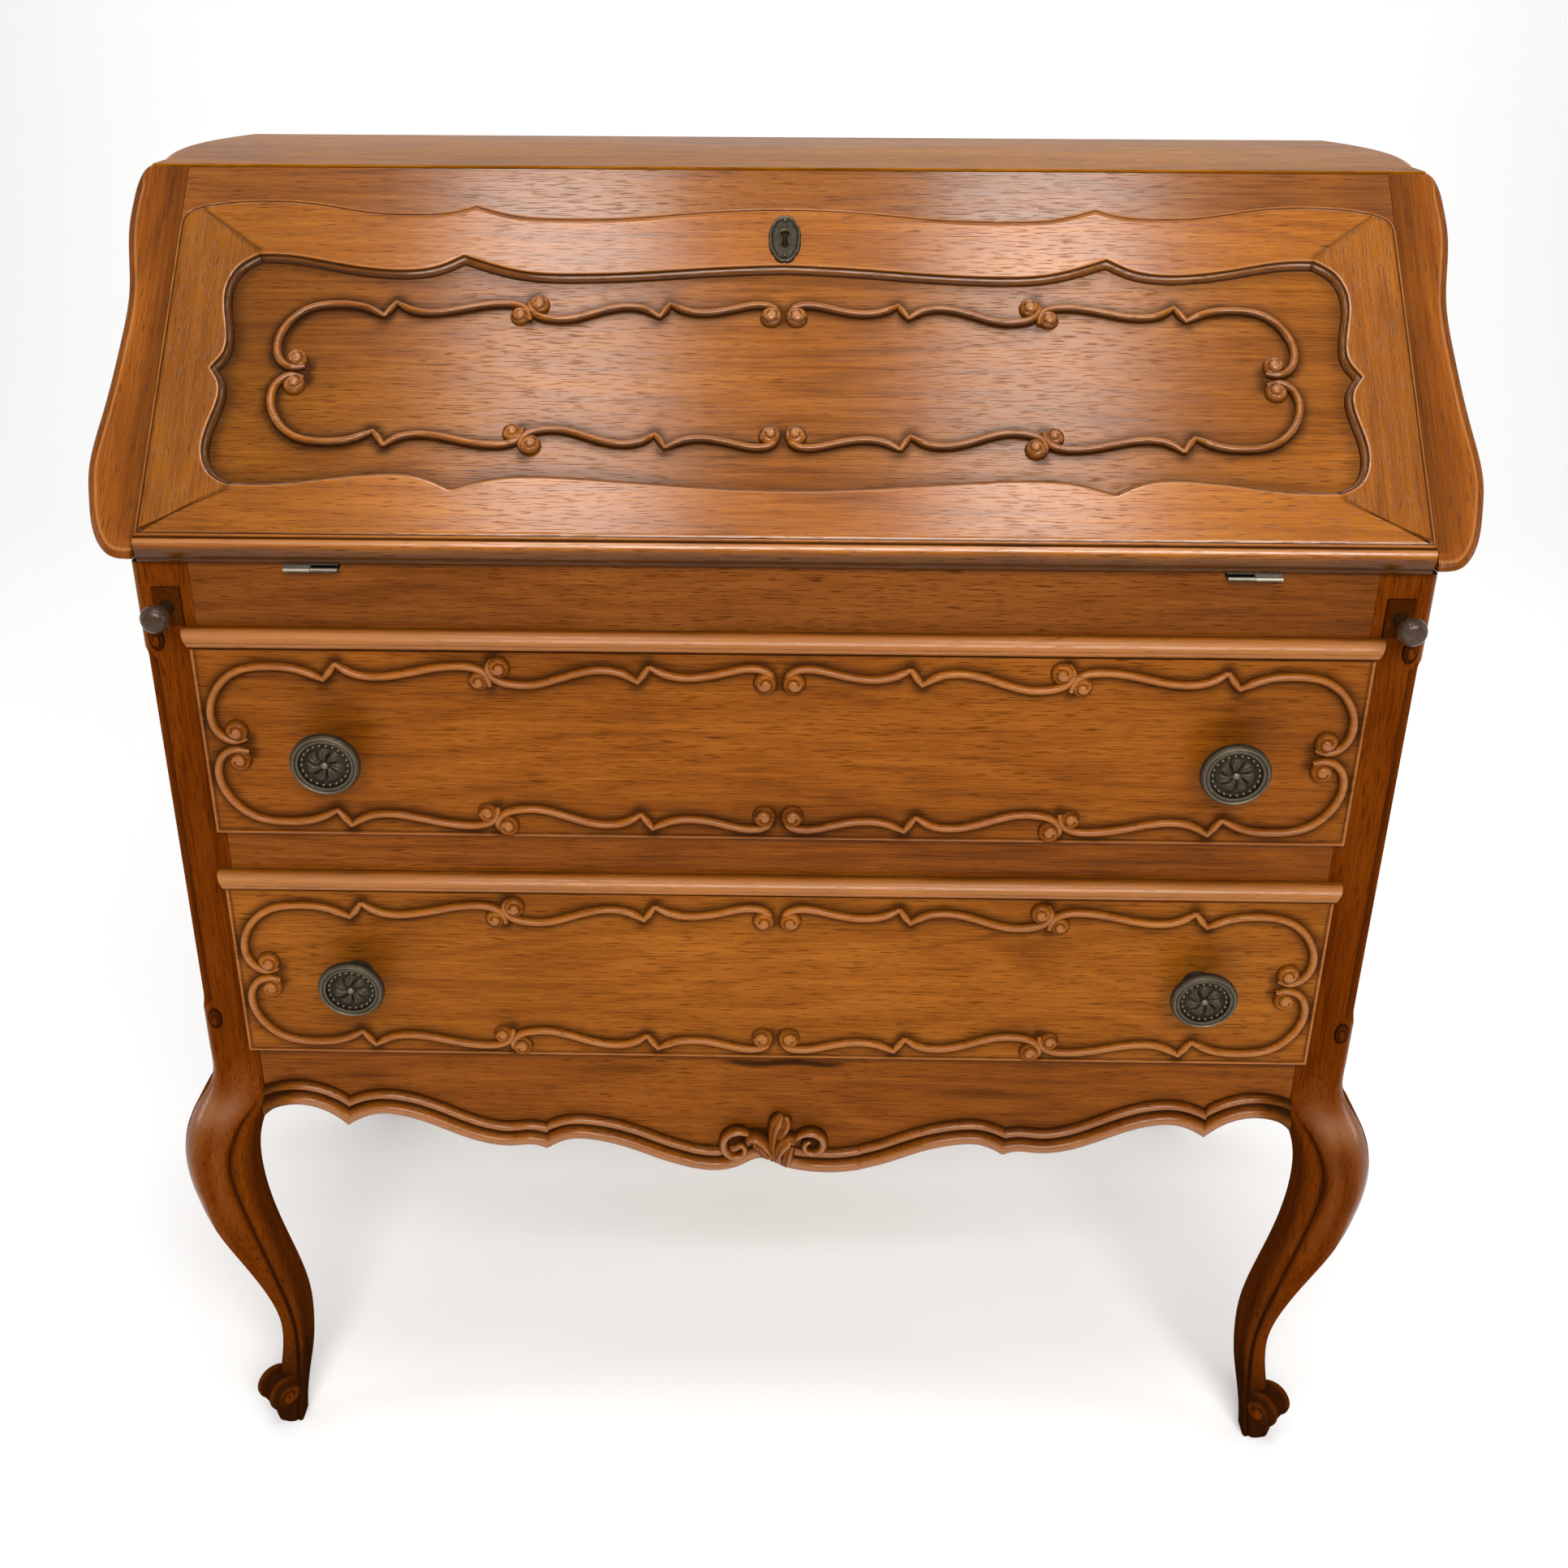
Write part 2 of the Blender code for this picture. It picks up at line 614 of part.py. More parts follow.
def apron(desk):
    """Front apron with a moulded, cusped lower edge and a carved leaf between two scrolls in the middle."""
    half = joined(*(curve_through(run, count) for run, count in zip(APRON_RUNS, (11, 10, 7))))
    edge = mirrored(half)
    rings = []
    for x, z in edge:
        front = [(x, y * MM, z + up * MM) for y, up in APRON_SECTION]
        rings.append([(x, RAIL_THICK, z), *front, (x, 0.001, APRON_TOP_Z), (x, RAIL_THICK, APRON_TOP_Z)])
    obj = desk.add("apron", loft("apron", rings), desk.walnut)
    bodies = []
    for side in (-1, 1):
        drum = turned("scroll", ((0, -13), (9, -13.5), (14.5, -12.5), (17, -9), (17, 6), (0, 6)), 14)
        drum.transform(Matrix.Translation((side * 0.030, 0, 0.2985)))
        bodies.append(drum)
    leaf = [(0.0, 0.283), (0.008, 0.290), (0.012, 0.305), (0.010, 0.325), (0.005, 0.337), (0.0, 0.340)]
    outline = leaf + [(-x, z) for x, z in leaf[-2:0:-1]]
    bodies.append(prism("leaf", outline, -0.0125, 0.006, "xz"))
    for k, body in enumerate(bodies):
        desk.boolean(obj, "UNION", desk.helper(f"apron_carving_{k}", body))
    smooth(obj, 0.7)


def inner_boards(desk):
    """Back, writing floor, drawer supports and loper guides."""
    behind = INTERIOR_BACK + 0.0015
    low, wide = OPENING_HALF - GAP, INTERIOR_HALF
    top = TOP_Z - TOP_THICK - GAP
    outline = [(-low, APRON_TOP_Z), (low, APRON_TOP_Z), (low, WAIST_Z + GAP), (wide, WAIST_Z + GAP), (wide, top),
               (-wide, top), (-wide, WAIST_Z + GAP), (-low, WAIST_Z + GAP)]
    desk.add("back_panel", prism("back_panel", outline, behind, behind + BACK_THICK, "xz"), desk.oak)
    side, front, back = LINING_HALF, RAIL_THICK + GAP, INTERIOR_BACK
    notch = (STILE_DEPTH + GAP, CASE_DEPTH - REAR_LEG_DEPTH - GAP)
    right = [(low, front), (low, notch[0]), (side, notch[0]), (side, notch[1]), (low, notch[1]), (low, back)]
    outline = right + [(-x, y) for x, y in right[::-1]]
    desk.add("writing_floor", prism("writing_floor", outline, LOPER_TOP + 2 * GAP, WAIST_Z), desk.walnut)
    for name, high in (("dust_board", MIDDLE_RAIL_Z[1]), ("bottom_board", APRON_TOP_Z)):
        desk.add(name, box_mesh(name, (-low, low), (front, back), (high - BOARD_THICK, high)), desk.oak)
    for sign, word in ((-1, "left"), (1, "right")):
        x = sorted((sign * (OPENING_HALF + 0.001), sign * side))
        guide = box_mesh("guide", x, notch, (GUIDE_LOW, LOPER_TOP - LOPER_SIZE[1] - GAP))
        desk.add(f"loper_guide_{word}", guide, desk.oak)


def interior(desk):
    """Pigeonhole shelf and its dividers, the upper pair with an ogee front edge."""
    wide = INTERIOR_HALF - GAP
    depth = (INTERIOR_FRONT, INTERIOR_BACK)
    desk.add("interior_shelf", box_mesh("interior_shelf", (-wide, wide), depth, SHELF_Z), desk.walnut)
    for side, word in ((-1, "left"), (1, "right")):
        x = (side * DIVIDER_X - DIVIDER_THICK / 2, side * DIVIDER_X + DIVIDER_THICK / 2)
        lower = box_mesh("divider", x, depth, (WAIST_Z + GAP, SHELF_Z[0] - GAP))
        desk.add(f"drawer_divider_{word}", lower, desk.walnut)
        low, high = SHELF_Z[1] + GAP, TOP_Z - TOP_THICK - 2 * GAP
        ogee = []
        for k in range(11):
            w = k / 10
            ogee.append((INTERIOR_FRONT + 0.028 - 0.016 * sin(2 * pi * w), low + (high - low) * w))
        outline = [(INTERIOR_BACK, low)] + ogee + [(INTERIOR_BACK, high)]
        desk.add(f"pigeonhole_divider_{word}", prism("divider", outline, *x, "yz"), desk.walnut)


# Fall

FALL_TOP_RUNS = (
    ((0, 277.6), (35, 276.6), (78, 273.0), (125, 268.5), (165, 267.8), (200, 270), (231, 279)),
    ((231, 279), (246, 274), (275, 271.3), (310, 273), (350, 280), (388, 282.5), (420, 280), (450.5, 270)),
)
PANEL_TOP_RUNS = (
    ((0, 222.5), (50, 220), (100, 216), (150, 213.5), (195, 216), (237, 229)),
    ((237, 229), (252, 221), (285, 216), (335, 222.5), (375, 229), (388, 229)),
)
PANEL_SIDE_RUNS = (
    ((388, 229), (399, 221), (406, 205), (405, 185), (401, 163), (402, 148), (409, 136)),
    ((409, 136), (402.5, 124), (402, 107), (407, 85), (407.5, 66), (401, 52), (390, 45.5)),
)
PANEL_BOTTOM_RUNS = (
    ((0, 43.5), (40, 44.5), (80, 47), (130, 50.5), (175, 52.7), (210, 49.5), (233, 42.5)),
    ((233, 42.5), (252, 51), (285, 53.7), (325, 49.5), (360, 45.3), (390, 45.5)),
)
NOSE_SECTION = ((0, 0), (0, -1.4), (-3, -0.9), (-6.5, -2.2), (-9.5, -5), (-11.2, -8.6), (-11.6, -12), (-13, -15.2),
                (-12, -18))


def fall_axis(desk):
    place = slope_point(HINGE_T, HINGE_N)
    return desk.axis("fall_axis", Matrix.Translation(place) @ Matrix.Rotation(SLOPE_ANGLE, 4, "X"), desk.root)


def frame_outlines():
    """The four mitred members of the fall's frame, each as a closed outline (x, t)."""
    top = joined(*(curve_through(run, n) for run, n in zip(FALL_TOP_RUNS, (8, 10))))
    inner_top = joined(*(curve_through(run, n) for run, n in zip(PANEL_TOP_RUNS, (8, 8))))
    side = joined(*(curve_through(run, n) for run, n in zip(PANEL_SIDE_RUNS, (8, 8))))
    inner_bottom = joined(*(curve_through(run, n) for run, n in zip(PANEL_BOTTOM_RUNS, (8, 8))))
    mitre = GAP / 2
    top_outline = np.concatenate([mirrored(top), mirrored(inner_top)[::-1]])
    base = [(FALL_HALF, -0.001), (-FALL_HALF, -0.001)]
    bottom_outline = np.concatenate([mirrored(inner_bottom), base])
    drop = 2 * mitre
    stile = np.concatenate([[(FALL_HALF, drop)], [(FALL_HALF, top[-1, 1] - drop)], side + np.array([mitre, 0])])
    stile[2, 1] -= drop
    stile[-1, 1] += drop
    return top_outline, bottom_outline, stile


def fall(desk):
    """Mitred frame with a wavy lipped top edge, a sunk carved panel, a nosing below, lock and escutcheon."""
    axis = fall_axis(desk)
    top_outline, bottom_outline, stile = frame_outlines()
    hole = box_mesh("hole", (-PANEL_HOLE_HALF, PANEL_HOLE_HALF), PANEL_HOLE_T, (-FALL_THICK - 0.01, -PANEL_SUNK))
    hole = desk.helper("panel_rebate", on_slope(hole), axis)
    lip = box_mesh("lip", (-0.5, 0.5), (FALL_BODY_TOP, 0.3), (-FALL_THICK - 0.01, -LIP_THICK))
    lip = desk.helper("lip_rebate", on_slope(lip), axis)

    def member(name, outline):
        obj = desk.add(name, on_slope(prism(name, outline, -FALL_THICK, 0.0)), desk.walnut, axis)
        desk.boolean(obj, "DIFFERENCE", hole)
        return obj

    desk.boolean(member("fall_top_rail", top_outline), "DIFFERENCE", lip)
    desk.boolean(member("fall_stile_right", stile), "DIFFERENCE", lip)
    left = (stile * np.array([-1.0, 1.0]))[::-1]
    desk.boolean(member("fall_stile_left", left), "DIFFERENCE", lip)
    bottom = member("fall_bottom_rail", bottom_outline)
    nose = [(t * MM, n * MM) for t, n in NOSE_SECTION] + [(0.0, -FALL_THICK)]
    reach = FALL_HALF + 0.0018
    nose = desk.helper("nose", on_slope(prism("nose", nose, -reach, reach, "yz")), axis)
    desk.boolean(bottom, "UNION", nose)
    for side, word in ((-1, "left"), (1, "right")):
        wide = HINGE_LENGTH / 2 + GAP
        seat = box_mesh("seat", (side * HINGE_X - wide, side * HINGE_X + wide), (-0.03, 0.0085), (-0.03, -0.0160))
        desk.boolean(bottom, "DIFFERENCE", desk.helper(f"leaf_seat_{word}", on_slope(seat), axis))
    fall_panel(desk, axis)
    escutcheon(desk, axis)
    lock(desk, axis)
    hinges(desk, axis)


def fall_panel(desk, axis):
    half, (low, high) = PANEL_HOLE_HALF - GAP, PANEL_HOLE_T
    ground = -PANEL_SUNK - GAP
    board = box_mesh("fall_panel", (-half, half), (low + GAP, high - GAP), (-FALL_THICK, ground))
    obj = desk.add("fall_panel", on_slope(board), desk.walnut, axis)
    middle = 0.1355
    sets = cartouche(0.369, 0.0595, lambda x, t, up: (x, middle + t, ground + up))
    carve(desk, obj, "fall", [on_slope(mesh) for mesh in sets], axis)


def escutcheon(desk, axis):
    """Oval plate with a notched rim and a keyhole."""
    rim = []
    for s in range(32):
        a = 2 * pi * s / 32
        lobe = 1.0 if s % 4 else 0.94
        rim.append((0.0122 * lobe * cos(a), LOCK_T + 0.0200 * lobe * sin(a)))
    obj = desk.add("escutcheon", on_slope(prism("escutcheon", rim, GAP, 0.0018)), desk.bronze, axis)
    hole = [(0.0026 * sin(pi * k / 6), LOCK_T + 0.001 + 0.0026 * cos(pi * k / 6)) for k in range(-5, 6)]
    hole += [(0.0013, LOCK_T - 0.0085), (-0.0013, LOCK_T - 0.0085)]
    desk.boolean(obj, "DIFFERENCE", desk.helper("keyhole", on_slope(prism("keyhole", hole, -0.002, 0.004)), axis))


def lock(desk, axis):
    """Lock case behind the top member, its bolt drawn in, and the striking plate on the fixed rail."""
    bolt_n = (-0.0295, -0.0255)
    case = box_mesh("lock_case", (-0.022, 0.022), (0.2230, 0.2590), (-0.0320, -FALL_THICK - GAP))
    obj = desk.add("lock_case", on_slope(case), desk.steel, axis)
    way = box_mesh("way", (-0.0083, 0.0083), (0.2385, 0.2800), (bolt_n[0] - GAP, bolt_n[1] + GAP))
    desk.boolean(obj, "DIFFERENCE", desk.helper("bolt_way", on_slope(way), axis))
    slide = desk.axis("bolt_axis", Matrix.Translation((0, 0.2617 - HINGE_T, bolt_n[0] - HINGE_N)), axis)
    bolt = box_mesh("lock_bolt", (-0.008, 0.008), (0.2390, 0.2617), bolt_n)
    bolt.transform(Matrix.Translation((0, -0.2617, -bolt_n[0])))
    bolt.materials.append(desk.steel)
    piece = bpy.data.objects.new("lock_bolt", bolt)
    bpy.context.scene.collection.objects.link(piece)
    piece.parent = slide
    plate = box_mesh("striking_plate", (-0.019, 0.019), (0.2625, 0.2637), (-0.0315, -0.0225))
    plate = desk.add("striking_plate", on_slope(plate), desk.brass)
    slot = box_mesh("slot", (-0.0090, 0.0090), (0.25, 0.28), (-0.0300, -0.0250))
    desk.boolean(plate, "DIFFERENCE", desk.helper("striking_slot", on_slope(slot)))


def leaf_mesh(desk, name, material, parent, place, knuckle, plate_level):
    """A hinge leaf: a plate clear of the other knuckle, and its own knuckle on half the hinge's length."""
    half = HINGE_LENGTH / 2
    thick = LEAF_THICK / 2
    plate = box_mesh(name, (-half, half), (0.0045, 0.0260), (plate_level - thick, plate_level + thick))
    low, high = (-half, -GAP / 2) if knuckle < 0 else (GAP / 2, half)
    web = box_mesh("web", (low, high), (0.0, 0.0060), (plate_level - thick, plate_level + thick))
    ring = [(KNUCKLE_RADIUS * cos(pi * k / 6), KNUCKLE_RADIUS * sin(pi * k / 6)) for k in range(12)]
    barrel = prism("barrel", ring, low, high, "yz")
    for mesh in (plate, web, barrel):
        mesh.transform(place)
    obj = desk.add(name, plate, material, parent)
    desk.boolean(obj, "UNION", desk.helper(f"{name}_web", web, parent))
    desk.boolean(obj, "UNION", desk.helper(f"{name}_barrel", barrel, parent))
    return obj


def hinges(desk, axis):
    turn = Matrix.Rotation(SLOPE_ANGLE, 4, "X")
    for side, word in ((-1, "left"), (1, "right")):
        pin = slope_point(HINGE_T, HINGE_N) + Vector((side * HINGE_X, 0, 0))
        place = Matrix.Translation(pin)
        leaf_mesh(desk, f"hinge_rail_leaf_{word}", desk.brass, None, place, -side, 0.0)
        leaf_mesh(desk, f"hinge_fall_leaf_{word}", desk.brass, axis, place @ turn, side, -0.0012)


# Drawers and lopers

KNOB_PROFILE = ((0, -8.6), (11, -8.6), (11, -10.2), (6.5, -11.6), (6, -20), (9.5, -22.5), (9.5, -25), (8, -26.6),
                (20, -29.6), (25.5, -32.6), (25.5, -36.4), (23, -39.5), (19, -38.8), (0, -37.6))
LIP_SECTION = ((-0.3, 0.0), (-8.0, 0.4), (-9.0, 2.6), (-12.2, 4.2), (-13.4, 7.6), (-12.6, 11.4), (-9.6, 14.4),
               (-5.0, 15.5), (-0.3, 15.5))


def drawer(desk, name, face, opening):
    """A long drawer: carved lipped front, dovetailed sides, back, bottom and two cast knobs."""
    low, high = face
    middle = (low + high) / 2
    axis = desk.slide(f"{name}_axis", 0, 0, middle)
    front = box_mesh(f"{name}_front", (-DRAWER_HALF, DRAWER_HALF), (-FACE_PROUD - GAP, -GAP), (low, high))
    front = desk.add(f"{name}_front", front, desk.walnut, axis)
    wide, play = OPENING_HALF - 0.0025, 0.0012
    block = box_mesh("block", (-wide, wide), (-0.003, DRAWER_BLOCK), (opening[0] + play, opening[1] - play))
    desk.boolean(front, "UNION", desk.helper(f"{name}_block", block, axis))
    lip = [(y * MM, high - 0.0002 + up * MM) for y, up in LIP_SECTION]
    lip = prism("lip", lip, -LIP_HALF, LIP_HALF, "yz")
    desk.boolean(front, "UNION", desk.helper(f"{name}_lip", lip, axis))
    ground = -FACE_PROUD - GAP
    carve(desk, front, name, cartouche(0.4145, 0.0645, lambda x, z, up: (x, ground - up, middle + z)), axis)

    floor = opening[0] + GAP
    rim = opening[1] - 0.016
    start, end = DRAWER_BLOCK + GAP, DRAWER_END
    inside, outside = DRAWER_SIDES_X
    for side, word in ((-1, "left"), (1, "right")):
        x = sorted((side * inside, side * outside))
        desk.add(f"{name}_side_{word}", box_mesh("side", x, (start, end), (floor, rim)), desk.oak, axis)
    x = (-inside + GAP, inside - GAP)
    board = (floor + 0.005, floor + 0.005 + DRAWER_BOARD)
    desk.add(f"{name}_bottom", box_mesh("bottom", x, (start, end), board), desk.oak, axis)
    desk.add(f"{name}_back", box_mesh("back", x, (end - 0.010, end), (board[1] + 0.0005, rim)), desk.oak, axis)
    for side, word in ((-1, "left"), (1, "right")):
        knob = turned("knob", KNOB_PROFILE, 14)
        knob.transform(Matrix.Translation((side * KNOB_X, 0, middle - 0.0030)))
        smooth(desk.add(f"{name}_knob_{word}", knob, desk.bronze, axis), 0.8)


def drawers(desk):
    drawer(desk, "upper_drawer", DRAWER_FACE_Z[0], (MIDDLE_RAIL_Z[1], HINGE_RAIL_Z[0]))
    drawer(desk, "lower_drawer", DRAWER_FACE_Z[1], (APRON_TOP_Z, MIDDLE_RAIL_Z[0]))


def small_drawers(desk):
    """Three open boxes in the interior, each with a turned pull on its front."""
    play = 0.0006
    near, far = DIVIDER_X - DIVIDER_THICK / 2, DIVIDER_X + DIVIDER_THICK / 2
    cells = ((-INTERIOR_HALF, -far), (-near, near), (far, INTERIOR_HALF))
    centre_z = 0.8360
    for (left, right), word in zip(cells, ("left", "centre", "right")):
        middle = (left + right) / 2
        axis = desk.slide(f"small_drawer_{word}_axis", middle, INTERIOR_FRONT, centre_z)
        x = (left + play, right - play)
        z = (WAIST_Z + GAP, SMALL_DRAWER_TOP)
        y = (INTERIOR_FRONT + 0.001, INTERIOR_BACK - 0.006)
        obj = desk.add(f"small_drawer_{word}", box_mesh("small_drawer", x, y, z), desk.walnut, axis)
        hollow = box_mesh("hollow", (x[0] + SMALL_WALL, x[1] - SMALL_WALL), (y[0] + SMALL_FRONT, y[1] - SMALL_WALL),
                          (z[0] + SMALL_FLOOR, z[1] + 0.02))
        desk.boolean(obj, "DIFFERENCE", desk.helper(f"hollow_{word}", hollow, axis))
        pull = turned("pull", ((0, 3), (4, 3), (3.5, -5), (7, -8), (7.5, -11), (5, -14), (0, -15)), 12)
        pull.transform(Matrix.Translation((middle, INTERIOR_FRONT + 0.001, centre_z)))
        desk.boolean(obj, "UNION", desk.helper(f"pull_{word}", pull, axis))


def lopers(desk):
    """Pull-out bearers in the stiles, each with a small turned knob."""
    wide, high = LOPER_SIZE
    front = -0.0020
    for side, word in ((-1, "left"), (1, "right")):
        axis = desk.slide(f"loper_{word}_axis", side * LOPER_X, 0, LOPER_TOP - high / 2)
        x = (side * LOPER_X - wide / 2, side * LOPER_X + wide / 2)
        bar = box_mesh("loper", x, (front, front + LOPER_LENGTH), (LOPER_TOP - high, LOPER_TOP))
        desk.add(f"loper_{word}", bar, desk.dark_walnut, axis)
        profile = ((0, -2.3), (5, -2.3), (4.6, -9), (7, -13), (10, -18), (10, -22.5), (7.5, -27), (0, -28.5))
        knob = turned("loper_knob", profile, 14)
        knob.transform(Matrix.Translation((side * LOPER_X, 0, LOPER_TOP - high / 2)))
        smooth(desk.add(f"loper_knob_{word}", knob, desk.dark_walnut, axis), 0.8)


def main():
    clear_scene()
    desk = Desk()
    for build in (front_legs, back_legs, lower_sides, upper_sides, slope_stiles, top_rail, top_board, rails, apron,
                  inner_boards, interior, fall, drawers, small_drawers, lopers):
        build(desk)


main()
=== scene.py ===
"""Looks of the slope-front secretary desk: carved walnut, cast knobs, scroll feet, and its stage.

Shapes are worked out in millimetres: on the front, with x to the right, z up and `out` forward of the front
stiles, or on the slope, with x to the right, t up the slope and n outward from the fall's face. They become
metres in the frame's axes when they are placed.
"""

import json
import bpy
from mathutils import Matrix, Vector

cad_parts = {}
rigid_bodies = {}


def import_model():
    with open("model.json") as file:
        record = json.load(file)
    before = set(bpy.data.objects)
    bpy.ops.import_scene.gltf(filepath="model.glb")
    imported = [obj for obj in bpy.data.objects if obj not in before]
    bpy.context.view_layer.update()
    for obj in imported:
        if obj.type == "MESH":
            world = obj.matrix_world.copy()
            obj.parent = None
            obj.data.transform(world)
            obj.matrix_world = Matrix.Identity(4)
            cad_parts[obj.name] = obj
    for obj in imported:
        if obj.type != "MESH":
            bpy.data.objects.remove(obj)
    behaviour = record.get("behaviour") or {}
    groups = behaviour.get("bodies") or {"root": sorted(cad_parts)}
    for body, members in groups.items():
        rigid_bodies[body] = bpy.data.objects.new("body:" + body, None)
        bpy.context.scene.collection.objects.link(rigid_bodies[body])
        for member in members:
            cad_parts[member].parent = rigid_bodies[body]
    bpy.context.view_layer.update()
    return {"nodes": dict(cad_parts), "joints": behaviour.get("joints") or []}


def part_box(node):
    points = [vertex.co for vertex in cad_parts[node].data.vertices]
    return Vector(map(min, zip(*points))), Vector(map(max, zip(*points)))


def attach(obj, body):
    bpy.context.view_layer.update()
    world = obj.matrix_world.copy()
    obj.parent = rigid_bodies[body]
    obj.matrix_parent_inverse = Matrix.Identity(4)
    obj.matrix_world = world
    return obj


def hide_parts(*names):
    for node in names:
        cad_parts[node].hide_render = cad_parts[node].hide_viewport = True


bl_info = {
    "name": "Slope-front secretary looks",
    "version": (1, 0, 0),
    "blender": (4, 5, 0),
    "location": "3D View > Sidebar > Desk",
    "description": "Builds the carved walnut pieces, fittings and stage around the packed desk",
    "category": "Object",
}

from math import pi, radians, sqrt

import bmesh
import bpy
import numpy as np
from bpy.props import FloatProperty, FloatVectorProperty, PointerProperty
from mathutils import Matrix, Vector

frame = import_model()

MM = 0.001
SIDES = ((-1, "left"), (1, "right"))
FRONT_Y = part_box("hinge_rail")[0].y     # the front stile plane
HINGE = next(j for j in frame["joints"] if j["name"] == "fall_hinge")["pos_m"]
HINGE_T, HINGE_N = -18.1, -15.8         # the hinge line on the slope, from the fall's lower quirk
HALF_ROOT = sqrt(0.5)                   # sine and cosine of the slope
QUIRK_Y = HINGE[1] - (HINGE_T - HINGE_N) * MM * HALF_ROOT
QUIRK_Z = HINGE[2] - (HINGE_T + HINGE_N) * MM * HALF_ROOT


# Curves

SPLINE_DENSE = 60           # points worked out per knot before a curve is spaced evenly
CURVE_LEAST = 4             # points that even a short curve has
MITRE_LIMIT = 2.2           # longest mitre, in offsets
MITRE_SHARPEST = 0.15       # least of one plus the cosine that a mitre is divided by


def natural_spline(knots, values, where):
    """Natural cubic spline: on a span a y0 + b y1 plus (a^3 - a, b^3 - b) times its bends times h^2 / 6."""
    h = np.diff(knots)
    n = len(knots)
    system = np.eye(n)
    inner = np.arange(1, n - 1)
    system[inner, inner - 1] = h[:-1]
    system[inner, inner] = 2 * (h[:-1] + h[1:])
    system[inner, inner + 1] = h[1:]
    slope = np.diff(values, axis=0) / h[:, None]
    right = np.zeros_like(values)
    right[1:-1] = 6 * np.diff(slope, axis=0)
    bend = np.linalg.solve(system, right)
    i = np.clip(np.searchsorted(knots, where) - 1, 0, n - 2)
    a = ((knots[i + 1] - where) / h[i])[:, None]
    b = 1 - a
    cubic = ((a ** 3 - a) * bend[i] + (b ** 3 - b) * bend[i + 1]) * h[i, None] ** 2 / 6
    return a * values[i] + b * values[i + 1] + cubic


def lengths(points):
    """Running length along a row of points."""
    return np.concatenate([[0.0], np.cumsum(np.linalg.norm(np.diff(points, axis=0), axis=1))])


def resampled(points, count):
    """The same row of points with `count` of them, evenly spaced."""
    run = lengths(points)
    even = np.linspace(0, run[-1], count)
    return np.stack([np.interp(even, run, column) for column in points.T], 1)


def curve(points, step=2.0):
    """Points about `step` apart on a natural spline through a few points."""
    p = np.array(points, float)
    run = lengths(p)
    dense = natural_spline(run, p, np.linspace(0, run[-1], SPLINE_DENSE * len(p)))
    return resampled(dense, max(CURVE_LEAST, int(lengths(dense)[-1] / step) + 1))


def cusped(runs):
    """Curves that meet end to end in cusps, as one row of points."""
    parts = [curve(run) for run in runs]
    return np.concatenate(parts[:1] + [part[1:] for part in parts[1:]])


def mirrored(half):
    """A half outline that starts on the centre line, made whole from left to right."""
    return np.concatenate([half[:0:-1] * (-1, 1), half])


def mitres(path, closed=False):
    """Offset directions to a path's left: the sum of the two edges' normals over one plus their cosine."""
    ends = np.roll(path, -1, 0) if closed else path[1:]
    edge = ends - (path if closed else path[:-1])
    edge /= np.maximum(np.linalg.norm(edge, axis=1), 1e-9)[:, None]
    normal = np.stack([-edge[:, 1], edge[:, 0]], 1)
    before = np.roll(normal, 1, 0) if closed else np.concatenate([normal[:1], normal])
    after = normal if closed else np.concatenate([normal, normal[-1:]])
    mitre = (before + after) / np.maximum(1 + (before * after).sum(1), MITRE_SHARPEST)[:, None]
    size = np.linalg.norm(mitre, axis=1)[:, None]
    return mitre * np.minimum(1, MITRE_LIMIT / size)


def arc(start, stop, count):
    """Cosines and sines of `count` angles in degrees."""
    a = np.radians(np.linspace(start, stop, count))
    return np.stack([np.cos(a), np.sin(a)], 1)


def ring(count):
    """Cosines and sines of `count` angles round a whole turn."""
    return arc(0, 360, count + 1)[:-1]


def fade(z, start, stop):
    """Smooth step 3 w^2 - 2 w^3 from 0 at start to 1 at stop."""
    w = np.clip((z - start) / (stop - start), 0, 1)
    return w * w * (3 - 2 * w)


def bell(away, reach, power=2):
    """exp(-(away / reach)^power)."""
    return np.exp(-(away / reach) ** power)


def clipped(tone):
    """A tone kept between rubbed wear and painted highlight, -1, and full grime and painted shade, 1."""
    return np.clip(tone, -1, 1)


# Places

def on_slope(x, t, n):
    """Slope millimetres to the frame's metres."""
    x, t, n = np.broadcast_arrays(x, t, n)
    return np.stack([x * MM, QUIRK_Y + (t - n) * MM * HALF_ROOT, QUIRK_Z + (t + n) * MM * HALF_ROOT], -1)


def on_front(x, z, out):
    """Front millimetres to the frame's metres."""
    x, z, out = np.broadcast_arrays(x, z, out)
    return np.stack([x * MM, FRONT_Y - out * MM, z * MM], -1)


# Surfaces: each part is (points, quads, tone); tone above 0 is grime and painted shade, below 0 rubbed wood
# and painted highlight

MERGED = 2e-6               # points this near are one, in metres
DEGENERATE = 1e-6           # edges this short are dissolved
SHARP = radians(38)         # edges that turn more than this stay sharp


def surface(grid, close_rows=False, close_cols=False, tone=0.0):
    """A grid of points, rows by columns, joined in quads."""
    rows, cols = grid.shape[:2]
    r = np.arange(rows if close_rows else rows - 1)[:, None]
    c = np.arange(cols if close_cols else cols - 1)[None, :]
    r2, c2 = (r + 1) % rows, (c + 1) % cols
    quads = np.stack([r * cols + c, r * cols + c2, r2 * cols + c2, r2 * cols + c], -1)
    tones = np.broadcast_to(np.asarray(tone, float), (rows, cols))
    return grid.reshape(-1, 3), quads.reshape(-1, 4), tones.reshape(-1)


